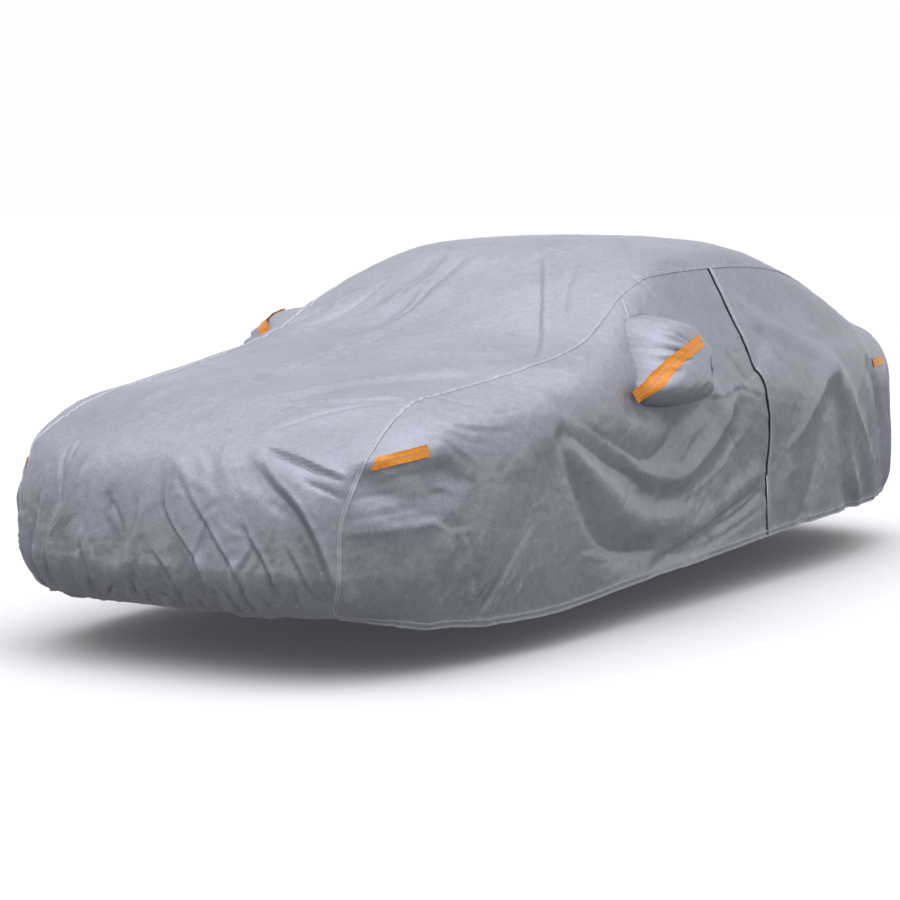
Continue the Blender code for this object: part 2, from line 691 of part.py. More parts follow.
def pocket(name, hand, folds, mat):
    """Bulging cup sewn into the hole of the side panel."""
    rim = pocket_outline()
    middle = np.array(POCKET_TOP)
    inward = middle - rim
    inward /= np.linalg.norm(inward, axis=1, keepdims=True)
    rim = rim + inward * POCKET_GAP
    shares = 1 - np.linspace(0.0, 1.0, POCKET_RINGS + 1)[:-1] ** POCKET_RING_POWER
    rings = []
    for share in shares:
        flat = middle + (rim - middle) * share
        outer, _ = side_skin(flat, hand, folds)
        angle = np.arctan2(flat[:, 1] - middle[1], flat[:, 0] - middle[0])
        outer[:, 1] += hand * pocket_bulge(share, angle)
        rings.append(outer)
    tip, _ = side_skin(middle[None], hand, folds)
    tip[:, 1] += hand * POCKET_BULGE
    outer = np.concatenate(rings + [tip])
    n = POCKET_POINTS
    top = []
    for r in range(POCKET_RINGS - 1):
        for k in range(n):
            a = r * n + k
            b = r * n + (k + 1) % n
            top += [(a, b, b + n), (a, b + n, a + n)]
    last = (POCKET_RINGS - 1) * n
    top += [(last + k, last + (k + 1) % n, last + n) for k in range(n)]
    turned = np.zeros(outer.shape)
    for a, b, c in top:
        face = np.cross(outer[b] - outer[a], outer[c] - outer[a])
        for corner in (a, b, c):
            turned[corner] += face
    turned /= np.linalg.norm(turned, axis=1, keepdims=True)
    turned *= np.where((turned[:, 1] * hand).sum() > 0, 1.0, -1.0)
    turned[:n] = (0.0, hand, 0.0)
    inner = outer - turned * CLOTH
    count = len(outer)
    faces = list(top) + [(c + count, b + count, a + count) for a, b, c in top]
    for k in range(n):
        a = k
        b = (k + 1) % n
        faces += [(b, a, a + count), (b, a + count, b + count)]
    return add_object(name, np.concatenate([outer, inner]), faces, mat)


def cut_pocket_hole(item, hand):
    """Cut the pocket's outline out of a side panel."""
    rim = pocket_outline()
    count = len(rim)
    near = [(x, hand * HOLE_FROM, z) for x, z in rim]
    far = [(x, hand * HOLE_TO, z) for x, z in rim]
    faces = [tuple(range(count)), tuple(range(2 * count - 1, count - 1, -1))]
    for k in range(count):
        n = (k + 1) % count
        faces.append((n, k, k + count, n + count))
    cutter = add_object("hole_" + item.name, near + far, faces, item.data.materials[0])
    cutter.hide_render = True
    cutter.display_type = "WIRE"
    cut = item.modifiers.new("pocket_hole", "BOOLEAN")
    cut.operation = "DIFFERENCE"
    cut.solver = "EXACT"
    cut.object = cutter
    return cutter


STRIP_LIFT = 0.0012      # least clearance under a strip
STRIP_THICK = 0.0009
STRIP_CELLS = 12
STRIP_ROWS = 3
STRIP_PROBES = 9         # places tried across a cell for cloth standing up under it
STRIP_VIEW = 0.25        # how far out the cloth is looked for
STRIP_START = 0.9        # distance from the middle plane where the search starts
STRIP_ROUNDS = 3         # times a strip is lifted off the cloth
STRIP_FACING = 0.6       # how much a strip turns towards the side
STRIPS = [
    # side, place, panel it lies on, width, path of (x, height)
    ("left", "front", "front", 0.042, [(2.194, 0.737), (2.100, 0.752), (2.012, 0.766)]),
    ("left", "pocket", "pocket", 0.048, [(0.706, 0.900), (0.650, 0.934), (0.570, 0.970), (0.440, 1.022),
                                         (0.318, 1.062)]),
    ("left", "rear", "rear", 0.040, [(-1.690, 0.866), (-1.790, 0.869), (-1.890, 0.872)]),
    ("right", "front", "front", 0.042, [(2.250, 0.664), (2.170, 0.676), (2.090, 0.688)]),
    ("right", "pocket", "pocket", 0.048, [(0.672, 0.960), (0.620, 0.990), (0.540, 1.022), (0.440, 1.054),
                                          (0.340, 1.080)]),
    ("right", "rear", "rear", 0.040, [(-1.745, 0.866), (-1.850, 0.869), (-1.960, 0.872)]),
]


def cloth_below(trees, place, up, view):
    """Point of the cloth under a place, looking in along the outward direction."""
    best = None
    for tree in trees:
        hit = tree.ray_cast(Vector(place + up * view), Vector(-up), 2 * view)
        if hit[0] is not None and (best is None or hit[3] < best[3]):
            best = hit
    if best is None:
        return None
    return np.array(best[0])


def strip(name, hand, carriers, width, path, mat):
    """Flat tape lying on the cloth along a path of (x, height)."""
    trees = []
    for item in carriers:
        verts = [v.co + Vector(ORIGIN) for v in item.data.vertices]
        faces = [tuple(f.vertices) for f in item.data.polygons]
        trees.append(BVHTree.FromPolygons(verts, faces))
    sideways = np.array([0.0, float(hand), 0.0])
    line = []
    drawn = smooth_path(path, STRIP_CELLS + 1)
    drawn = np.concatenate([[2 * drawn[0] - drawn[1]], drawn, [2 * drawn[-1] - drawn[-2]]])
    for flat in drawn:
        place = np.array([flat[0], hand * STRIP_START, flat[1]])
        line.append(cloth_below(trees, place, sideways, 2 * STRIP_VIEW))
    line = np.array(line)
    forward = line[2:] - line[:-2]
    forward /= np.linalg.norm(forward, axis=1, keepdims=True)
    facing = outward(line[1:-1]) + sideways * STRIP_FACING
    across = np.cross(facing, forward)
    across /= np.linalg.norm(across, axis=1, keepdims=True)
    facing = np.cross(forward, across)
    line = line[1:-1]
    laid = np.zeros((STRIP_ROWS + 1, STRIP_CELLS + 1, 3))
    up = np.broadcast_to(facing, laid.shape)
    for i in range(STRIP_ROWS + 1):
        for j in range(STRIP_CELLS + 1):
            place = line[j] + across[j] * width * (i / STRIP_ROWS - 0.5)
            laid[i, j] = cloth_below(trees, place, facing[j], STRIP_VIEW)
    probes = np.linspace(0.0, 1.0, STRIP_PROBES)
    for _ in range(STRIP_ROUNDS):
        lack = np.zeros(laid.shape[:2])
        for i in range(STRIP_ROWS):
            for j in range(STRIP_CELLS):
                corner = laid[i:i + 2, j:j + 2]
                worst = 0.0
                for u in probes:
                    for v in probes:
                        mix = np.array([[(1 - u) * (1 - v), (1 - u) * v], [u * (1 - v), u * v]])
                        over = (corner * mix[..., None]).sum((0, 1))
                        under = cloth_below(trees, over, facing[j], STRIP_VIEW)
                        if under is not None:
                            worst = max(worst, float((under - over) @ facing[j]))
                lack[i:i + 2, j:j + 2] = np.maximum(lack[i:i + 2, j:j + 2], worst)
        laid = laid + up * lack[..., None]
    inner = laid + up * STRIP_LIFT
    return sheet_object(name, inner + up * STRIP_THICK, inner, mat)


clear_scene()
grey_cloth = material("grey_cover_cloth", (0.235, 0.240, 0.285), 0.62)
zip_black = material("zip_chain_black", (0.020, 0.021, 0.025), 0.50)
flap_grey = material("zip_flap_grey", (0.300, 0.305, 0.350), 0.62)
orange_tape = material("orange_reflective_tape", (0.870, 0.300, 0.040), 0.45)

ROOF_CLEAR = 0.004       # from the outer skin of the roof down to the origin
ROOF_TOP = lay_path("top", [(ROOF_X, 0.0), (ROOF_X, 0.01)], 2)[0]
ORIGIN = ROOF_TOP - np.array([0.0, 0.0, ROOF_CLEAR])

folds = make_folds()
seam_line = curve_through(SEAM)
hem_line = curve_through(HEM)
zip_line = curve_through(ZIP)

# Indices of the corners on the long seam, and of the zip on seam and hem.
front_turn = int(np.abs(seam_line[:, 0] - FRONT_CORNER_X)[:len(seam_line) // 2].argmin())
rear_turn = len(seam_line) // 2 + int(np.abs(seam_line[:, 0] - REAR_CORNER_X)[len(seam_line) // 2:].argmin())
last = len(seam_line) - 1


def along_curve(curve, index, distance):
    """Index of the point a distance further along a dense curve."""
    gaps = np.linalg.norm(np.diff(curve, axis=0), axis=1)
    place = np.concatenate([[0.0], np.cumsum(gaps)])
    return int(np.abs(place - place[index] - distance).argmin())


seam_zip = nearest(seam_line, zip_line[0])
seam_chain = along_curve(seam_line, seam_zip, ZIP_CHAIN_WIDTH)
seam_flap = along_curve(seam_line, seam_zip, ZIP_CHAIN_WIDTH + ZIP_FLAP_WIDTH)
hem_zip = nearest(hem_line, zip_line[-1])

corner_up = cut_even(seam_line[:front_turn + 1], FRONT_CELLS)
top_front = cut_even(seam_line[front_turn:seam_zip + 1], TOP_FRONT_CELLS)
top_rear = cut_even(seam_line[seam_flap:rear_turn + 1], TOP_REAR_CELLS)
corner_down = cut_even(seam_line[rear_turn:last + 1], REAR_CELLS)

seam_points = np.concatenate([
    corner_up,
    top_front[1:],
    seam_line[seam_chain][None],
    top_rear,
    corner_down[1:],
])
grid = middle_grid(seam_points)
rows, cols = grid.shape[:2]
cloth_sheet("centre_panel", grid, hem_rise(rows, cols, True), folds, grey_cloth)


def beside(curve, top_shift, low_shift):
    """A line beside the zip, its two ends moved by given amounts."""
    t = np.linspace(0.0, 1.0, len(curve))[:, None]
    moved = curve + (1 - t) * low_shift + t * top_shift
    moved[1:-1] = settle(moved[1:-1])
    return moved


hem_chain = along_curve(hem_line, hem_zip, ZIP_CHAIN_WIDTH)
hem_flap = along_curve(hem_line, hem_zip, ZIP_CHAIN_WIDTH + ZIP_FLAP_WIDTH)
zip_up = cut_even(zip_line[::-1], SIDE_CELLS)
zip_up[0] = hem_line[hem_zip]
zip_up[-1] = seam_line[seam_zip]
chain_up = beside(zip_up, seam_line[seam_chain] - zip_up[-1], hem_line[hem_chain] - zip_up[0])
flap_up = beside(zip_up, seam_line[seam_flap] - zip_up[-1], hem_line[hem_flap] - zip_up[0])
hem_front = cut_even(hem_line[:hem_zip + 1], TOP_FRONT_CELLS)
hem_rear = cut_even(hem_line[hem_flap:], TOP_REAR_CELLS)

front_side = patch(hem_front, top_front, corner_up, zip_up)
rear_side = patch(hem_rear, top_rear, flap_up, corner_down[::-1])
chain_band = np.stack([zip_up, chain_up], axis=1)
flap_band = np.stack([chain_up, flap_up], axis=1)


def side_object(name, plain, mat, rise=None, mirror=False):
    grid = add_hem_rows(plain)
    if mirror:
        grid = mirrored(grid)
    rows, cols = grid.shape[:2]
    extra = hem_rise(rows, cols) if rise is None else rise
    return cloth_sheet(name, grid, extra, folds, mat)


left_front = side_object("left_front_panel", front_side, grey_cloth)
left_rear = side_object("left_rear_panel", rear_side, grey_cloth)
side_object("zip_chain", chain_band, zip_black, -ZIP_CHAIN_SINK)
side_object("zip_flap", flap_band, flap_grey, ZIP_FLAP_RISE)
whole_side = np.concatenate([front_side, chain_up[:, None], rear_side], axis=1)
right_side = side_object("right_side_panel", whole_side, grey_cloth, None, True)

for side, hand, front_carrier, rear_carrier in (
    ("left", 1, left_front, left_rear),
    ("right", -1, right_side, right_side),
):
    cup = pocket(side + "_mirror_pocket", hand, folds, grey_cloth)
    carriers = {
        "front": [front_carrier],
        "rear": [rear_carrier],
        "pocket": [cup, front_carrier],
    }
    for strip_side, place, panel, width, path in STRIPS:
        if strip_side == side:
            strip("strip_" + place + "_" + side, hand, carriers[panel], width, path, orange_tape)
    cut_pocket_hole(front_carrier, hand)
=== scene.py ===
import math

import bpy
import numpy as np
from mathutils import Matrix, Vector, noise
from mathutils.bvhtree import BVHTree
from mathutils.kdtree import KDTree


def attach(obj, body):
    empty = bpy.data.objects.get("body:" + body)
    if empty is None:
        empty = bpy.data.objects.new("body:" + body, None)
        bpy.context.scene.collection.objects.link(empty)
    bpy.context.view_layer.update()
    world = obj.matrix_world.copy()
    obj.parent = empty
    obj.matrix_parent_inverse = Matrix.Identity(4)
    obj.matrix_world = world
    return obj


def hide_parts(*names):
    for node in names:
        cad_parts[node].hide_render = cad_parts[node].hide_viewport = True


# Fitted outdoor cover of coated polyester, standing in the shape it takes when
# it is pulled on.  +X is the front, +Y the left side, +Z up.  Metres.
# Heights in the tables are above the ground, and x is from the cover's middle.

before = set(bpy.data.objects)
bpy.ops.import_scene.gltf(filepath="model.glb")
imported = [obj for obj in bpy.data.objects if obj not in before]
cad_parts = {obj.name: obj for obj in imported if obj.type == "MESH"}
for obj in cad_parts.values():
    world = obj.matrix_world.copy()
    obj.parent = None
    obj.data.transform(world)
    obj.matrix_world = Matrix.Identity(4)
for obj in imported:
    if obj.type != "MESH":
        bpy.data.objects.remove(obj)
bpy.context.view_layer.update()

# The vector noise takes its offsets from a clock unless it is given a seed.
NOISE_SEED = 41
noise.seed_set(NOISE_SEED)

# ---------------------------------------------------------------- plain shape
COVER_LENGTH = 4.95
COVER_WIDTH = 1.93
CLOTH = 0.0016
HEM_BAND = 0.026
HEM_RISE = 0.0016
HEM_STEP = 0.004
ROOF_X = -0.40
TOP_LINE = [
    # x from the middle, height
    (2.95, 0.300),
    (2.60, 0.610),
    (2.375, 0.752),
    (1.975, 0.912),
    (1.525, 0.978),
    (1.125, 1.040),
    (0.775, 1.116),
    (0.425, 1.272),
    (0.025, 1.420),
    (-0.375, 1.455),
    (-0.875, 1.428),
    (-1.375, 1.282),
    (-1.775, 1.118),
    (-2.145, 1.062),
    (-2.45, 1.030),
    (-2.95, 0.900),
]
CROWN_DROP = 0.058
CROWN_POWER = 2.2
BELT_HEIGHT = 0.865
SIDE_LEAN = 0.60
BELT_SOFT = 0.05
NOSE_POWER = 4.6
TAIL_POWER = 4.2
NOSE_LEAN = 0.27
NOSE_LEAN_FROM = 0.55
TAIL_LEAN = 0.16
TAIL_LEAN_FROM = 0.75
END_SOFT = 0.06
TUCK_HEIGHT = 0.37
TUCK_IN = 2.1
TUCK_POWER = 1.6
SILL_HEIGHT = 0.45
SILL_IN = 0.16
SHOULDER_SOFT = 0.045
PLAN_SCALE = 0.9


def smooth_table(value, table):
    """Cubic curve through the rows (position, amount) of a table."""
    rows = np.array(sorted(table), dtype=float)
    xs = rows[:, 0]
    ys = rows[:, 1]
    slope = np.gradient(ys, xs)
    v = np.clip(value, xs[0], xs[-1])
    i = np.clip(np.searchsorted(xs, v) - 1, 0, len(xs) - 2)
    h = xs[i + 1] - xs[i]
    t = (v - xs[i]) / h
    t2 = t * t
    t3 = t2 * t
    return (
        (2 * t3 - 3 * t2 + 1) * ys[i]
        + (t3 - 2 * t2 + t) * h * slope[i]
        + (-2 * t3 + 3 * t2) * ys[i + 1]
        + (t3 - t2) * h * slope[i + 1]
    )


def soft_over(value, softness):
    return np.logaddexp(0.0, value / softness) * softness


def soft_lower(a, b, softness):
    return -softness * np.logaddexp(-a / softness, -b / softness)


def body_depth(p):
    """Depth below the plain shape of the cover; zero on it, positive inside."""
    x = p[..., 0]
    y = p[..., 1]
    z = p[..., 2]
    ay = np.sqrt(y * y + 1e-4)
    crown = CROWN_DROP * (ay / 0.8) ** CROWN_POWER
    top = smooth_table(x, TOP_LINE) - crown - z
    half_width = COVER_WIDTH / 2 - SIDE_LEAN * soft_over(z - BELT_HEIGHT, BELT_SOFT)
    half_width = half_width - SILL_IN * np.maximum(SILL_HEIGHT - z, 0) ** 1.5
    front = x > 0
    lean = np.where(front, NOSE_LEAN, TAIL_LEAN)
    lean_from = np.where(front, NOSE_LEAN_FROM, TAIL_LEAN_FROM)
    half_length = COVER_LENGTH / 2 - lean * soft_over(z - lean_from, END_SOFT)
    half_length = half_length - TUCK_IN * np.maximum(TUCK_HEIGHT - z, 0) ** TUCK_POWER
    power = np.where(front, NOSE_POWER, TAIL_POWER)
    reach = (np.abs(x) / half_length) ** power + (ay / half_width) ** power
    plan = (1 - reach ** (1 / power)) * half_width * PLAN_SCALE
    return soft_lower(top, plan, SHOULDER_SOFT)


def body_slope(p, step=1e-4):
    out = np.zeros(p.shape)
    for axis in range(3):
        move = np.zeros(3)
        move[axis] = step
        out[..., axis] = (body_depth(p + move) - body_depth(p - move)) / (2 * step)
    return out


def unit(v):
    return v / np.maximum(np.linalg.norm(v, axis=-1, keepdims=True), 1e-9)


def outward(p):
    return unit(-body_slope(p))


SETTLE_ROUNDS = 9
LAY_ROUNDS = 24
LONGEST_STEP = 0.12
LEAST_SLOPE = 0.01
LEAST_RATE = 0.15


def settle(p, along=None, rounds=SETTLE_ROUNDS):
    """Move points on to the plain shape, along given directions or straight out."""
    q = np.array(p, dtype=float)
    for _ in range(rounds):
        depth = body_depth(q)
        slope = body_slope(q)
        if along is None:
            size = np.maximum((slope * slope).sum(-1), LEAST_SLOPE)
            step = -(depth / size)[..., None] * slope
        else:
            rate = (slope * along).sum(-1)
            rate = np.where(np.abs(rate) < LEAST_RATE, -LEAST_RATE, rate)
            step = -(depth / rate)[..., None] * along
        size = np.linalg.norm(step, axis=-1, keepdims=True)
        q = q + step * np.minimum(1.0, LONGEST_STEP / np.maximum(size, 1e-9))
    return q


# ---------------------------------------------------------------- edges of the panels
SEAM = [
    # x, y, height
    (2.290, 0.625, 0.200),
    (2.350, 0.678, 0.390),
    (2.340, 0.688, 0.555),
    (2.290, 0.698, 0.650),
    (2.195, 0.700, 0.755),
    (2.071, 0.682, 0.828),
    (1.955, 0.662, 0.872),
    (1.840, 0.645, 0.902),
    (1.620, 0.656, 0.927),
    (1.388, 0.681, 0.956),
    (1.145, 0.705, 0.990),
    (0.943, 0.718, 1.025),
    (0.710, 0.718, 1.089),
    (0.557, 0.700, 1.159),
    (0.412, 0.682, 1.224),
    (0.222, 0.677, 1.286),
    (0.022, 0.684, 1.309),
    (-0.306, 0.683, 1.323),
    (-0.701, 0.680, 1.325),
    (-1.060, 0.676, 1.300),
    (-1.320, 0.676, 1.258),
    (-1.600, 0.690, 1.150),
    (-1.850, 0.700, 1.075),
    (-2.080, 0.702, 1.020),
    (-2.240, 0.700, 0.930),
    (-2.330, 0.698, 0.800),
    (-2.365, 0.690, 0.620),
    (-2.365, 0.680, 0.430),
    (-2.290, 0.650, 0.230),
]
FRONT_CORNER_X = 1.955
REAR_CORNER_X = -2.080
HEM = [
    # x, y, height
    (2.290, 0.625, 0.200),
    (2.160, 0.740, 0.172),
    (1.960, 0.840, 0.146),
    (1.770, 0.880, 0.134),
    (1.340, 0.930, 0.128),
    (0.800, 0.950, 0.155),
    (0.200, 0.955, 0.178),
    (-0.400, 0.955, 0.205),
    (-1.000, 0.945, 0.226),
    (-1.500, 0.920, 0.232),
    (-1.850, 0.870, 0.238),
    (-2.100, 0.780, 0.238),
    (-2.290, 0.650, 0.230),
]
END_HEM_DIP = 0.006
ZIP = [
    # x, y, height
    (-0.358, 0.680, 1.318),
    (-0.330, 0.790, 1.152),
    (-0.325, 0.885, 0.990),
    (-0.365, 0.950, 0.824),
    (-0.400, 0.960, 0.657),
    (-0.395, 0.960, 0.450),
    (-0.425, 0.945, 0.206),
]
ZIP_CHAIN_WIDTH = 0.016
ZIP_FLAP_WIDTH = 0.024

# ---------------------------------------------------------------- folds
# A fold follows a path in the plane of its face.  "ridge" stands out, "crease"
# sinks in, and "tuck" stands out on the left of its path and sinks on the right.
FACES = {
    # face: first axis, second axis, axis it is laid on along, start value
    "front": (1, 2, 0, 2.60),
    "rear": (1, 2, 0, -2.60),
    "left": (0, 2, 1, 1.10),
    "right": (0, 2, 1, -1.10),
    "top": (0, 1, 2, 1.60),
}
FRONT_FOLDS = [
    # kind, half width, depth at the start and the end, path of (y, height)
    ("tuck", 0.050, 0.006, 0.020, [(-0.36, 0.70), (-0.40, 0.56), (-0.46, 0.44), (-0.48, 0.24)]),
    ("crease", 0.045, 0.018, 0.006, [(-0.20, 0.57), (-0.20, 0.51), (-0.13, 0.40)]),
    ("tuck", 0.050, 0.004, 0.016, [(-0.06, 0.64), (-0.08, 0.52), (-0.13, 0.38)]),
    ("tuck", 0.055, 0.004, 0.018, [(0.03, 0.66), (0.07, 0.55), (0.16, 0.42), (0.23, 0.26)]),
    ("ridge", 0.060, 0.010, 0.004, [(0.06, 0.70), (0.22, 0.55), (0.34, 0.42)]),
    ("crease", 0.050, 0.004, 0.016, [(0.36, 0.58), (0.44, 0.44), (0.48, 0.25)]),
    ("ridge", 0.060, 0.004, 0.014, [(0.30, 0.50), (0.34, 0.36), (0.34, 0.24)]),
    ("tuck", 0.055, 0.010, 0.022, [(0.36, 0.71), (0.47, 0.66), (0.56, 0.58), (0.62, 0.42), (0.65, 0.28)]),
    ("ridge", 0.055, 0.012, 0.006, [(-0.28, 0.42), (-0.30, 0.26)]),
    ("crease", 0.045, 0.010, 0.012, [(-0.56, 0.52), (-0.60, 0.36), (-0.60, 0.24)]),
    ("ridge", 0.110, 0.010, 0.010, [(-0.62, 0.70), (-0.20, 0.72), (0.25, 0.72), (0.62, 0.70)]),
]
REAR_FOLDS = [
    ("tuck", 0.055, 0.006, 0.018, [(-0.50, 0.80), (-0.46, 0.58), (-0.52, 0.30)]),
    ("ridge", 0.060, 0.004, 0.014, [(-0.22, 0.70), (-0.26, 0.48), (-0.22, 0.27)]),
    ("crease", 0.050, 0.006, 0.014, [(0.00, 0.66), (0.05, 0.46), (0.02, 0.27)]),
    ("tuck", 0.050, 0.004, 0.016, [(0.30, 0.78), (0.24, 0.54), (0.30, 0.28)]),
    ("ridge", 0.060, 0.006, 0.012, [(0.52, 0.74), (0.56, 0.50), (0.50, 0.27)]),
    ("ridge", 0.140, 0.005, 0.005, [(-0.60, 0.84), (0.00, 0.88), (0.60, 0.84)]),
]
SIDE_FOLDS = [
    # kind, half width, depth at the start and the end, path of (x, height)
    ("ridge", 0.100, 0.013, 0.006, [(1.38, 0.79), (1.62, 0.70), (1.75, 0.56), (1.84, 0.30)]),
    ("tuck", 0.045, 0.002, 0.004, [(1.58, 0.44), (1.66, 0.32), (1.76, 0.18)]),
    ("crease", 0.055, 0.020, 0.014, [(1.34, 0.74), (1.22, 0.58), (1.10, 0.42), (0.90, 0.30), (0.45, 0.28)]),
    ("crease", 0.050, 0.016, 0.018, [(1.29, 0.77), (1.08, 0.68), (0.86, 0.59), (0.68, 0.49)]),
    ("crease", 0.050, 0.010, 0.016, [(1.28, 0.86), (1.08, 0.76), (0.84, 0.67), (0.66, 0.62), (0.44, 0.71)]),
    ("ridge", 0.055, 0.008, 0.016, [(1.22, 0.81), (0.96, 0.70), (0.74, 0.60), (0.42, 0.53), (0.18, 0.62),
                                    (-0.02, 0.80)]),
    ("ridge", 0.065, 0.014, 0.012, [(1.26, 0.70), (1.02, 0.54), (0.74, 0.40), (0.36, 0.40), (0.04, 0.54)]),
    ("crease", 0.055, 0.014, 0.008, [(0.54, 0.46), (0.30, 0.44), (0.06, 0.56), (-0.14, 0.76)]),
    ("tuck", 0.055, 0.012, 0.008, [(0.56, 0.24), (0.18, 0.31), (-0.30, 0.44)]),
    ("crease", 0.055, 0.018, 0.010, [(0.78, 0.85), (0.58, 0.78), (0.38, 0.76), (0.20, 0.80)]),
    ("ridge", 0.050, 0.010, 0.006, [(0.10, 0.84), (0.02, 0.66), (0.06, 0.46)]),
    ("ridge", 0.070, 0.018, 0.010, [(-1.09, 0.87), (-0.88, 0.76), (-0.70, 0.60), (-0.56, 0.38)]),
    ("ridge", 0.070, 0.014, 0.012, [(-1.12, 0.86), (-1.30, 0.70), (-1.50, 0.48), (-1.66, 0.28)]),
    ("crease", 0.060, 0.010, 0.018, [(-1.02, 0.78), (-0.96, 0.58), (-0.86, 0.38), (-0.80, 0.26)]),
    ("tuck", 0.060, 0.008, 0.016, [(-1.18, 0.76), (-1.24, 0.56), (-1.28, 0.38), (-1.40, 0.26)]),
    ("crease", 0.055, 0.012, 0.012, [(-1.62, 0.84), (-1.76, 0.62), (-1.86, 0.36)]),
    ("ridge", 0.055, 0.008, 0.012, [(-1.86, 0.80), (-1.96, 0.56), (-1.98, 0.32)]),
    ("crease", 0.050, 0.014, 0.006, [(-0.52, 1.03), (-0.36, 0.94), (-0.20, 0.89), (-0.12, 0.96)]),
    ("ridge", 0.060, 0.008, 0.008, [(-0.60, 1.10), (-0.90, 0.98), (-1.25, 0.94), (-1.60, 0.94)]),
    ("crease", 0.060, 0.010, 0.008, [(2.24, 0.64), (2.12, 0.60), (1.96, 0.64)]),
    ("ridge", 0.050, 0.012, 0.008, [(2.28, 0.54), (2.14, 0.52), (1.98, 0.57)]),
    ("tuck", 0.050, 0.010, 0.006, [(2.24, 0.70), (2.14, 0.71), (1.98, 0.73)]),
    ("ridge", 0.060, 0.010, 0.014, [(2.02, 0.44), (2.04, 0.32), (2.02, 0.20)]),
    ("crease", 0.240, 0.014, 0.014, [(0.90, 0.44), (-0.50, 0.46)]),
]
TOP_FOLDS = [
    # kind, half width, depth at the start and the end, path of (x, y)
    ("ridge", 0.060, 0.006, 0.004, [(2.21, 0.30), (2.09, 0.40), (1.96, 0.50), (1.84, 0.56)]),
    ("tuck", 0.060, 0.007, 0.005, [(1.80, -0.06), (1.55, -0.10), (1.36, -0.07), (1.10, -0.12),
                                   (0.90, -0.12)]),
    ("crease", 0.060, 0.006, 0.006, [(0.16, 0.20), (0.64, 0.46), (1.00, 0.62)]),
    ("crease", 0.060, 0.006, 0.006, [(0.16, -0.22), (0.62, -0.44), (1.02, -0.60)]),
    ("tuck", 0.060, 0.006, 0.006, [(0.19, -0.27), (0.43, -0.25), (0.62, -0.31)]),
    ("tuck", 0.060, 0.006, 0.006, [(0.26, -0.12), (0.52, -0.13), (0.76, -0.15)]),
    ("ridge", 0.060, 0.005, 0.005, [(1.04, 0.54), (1.14, 0.20), (1.10, -0.20), (1.02, -0.54)]),
    ("ridge", 0.060, 0.004, 0.004, [(-0.36, 0.30), (0.08, 0.54)]),
    ("crease", 0.070, 0.006, 0.005, [(-1.10, 0.36), (-1.40, 0.30), (-1.72, 0.40)]),
    ("crease", 0.070, 0.006, 0.005, [(-1.06, -0.40), (-1.42, -0.26), (-1.76, -0.36)]),
    ("tuck", 0.060, 0.005, 0.005, [(1.90, 0.24), (1.66, 0.34), (1.40, 0.52)]),
    ("tuck", 0.060, 0.005, 0.005, [(2.00, -0.34), (1.70, -0.40), (1.40, -0.56)]),
    ("ridge", 0.070, 0.006, 0.004, [(-1.80, 0.50), (-1.90, 0.10), (-1.86, -0.46)]),
]
FOLD_STRENGTH = {"front": 0.85, "rear": 1.1, "left": 1.25, "top": 1.5}
FOLD_REACH = 2.6
RIGHT_SHIFT = -0.05
SHIFT_END = 2.4
RIGHT_SHARE = 0.85
TUCK_SHARE = 2.3
PATH_POINTS = 15

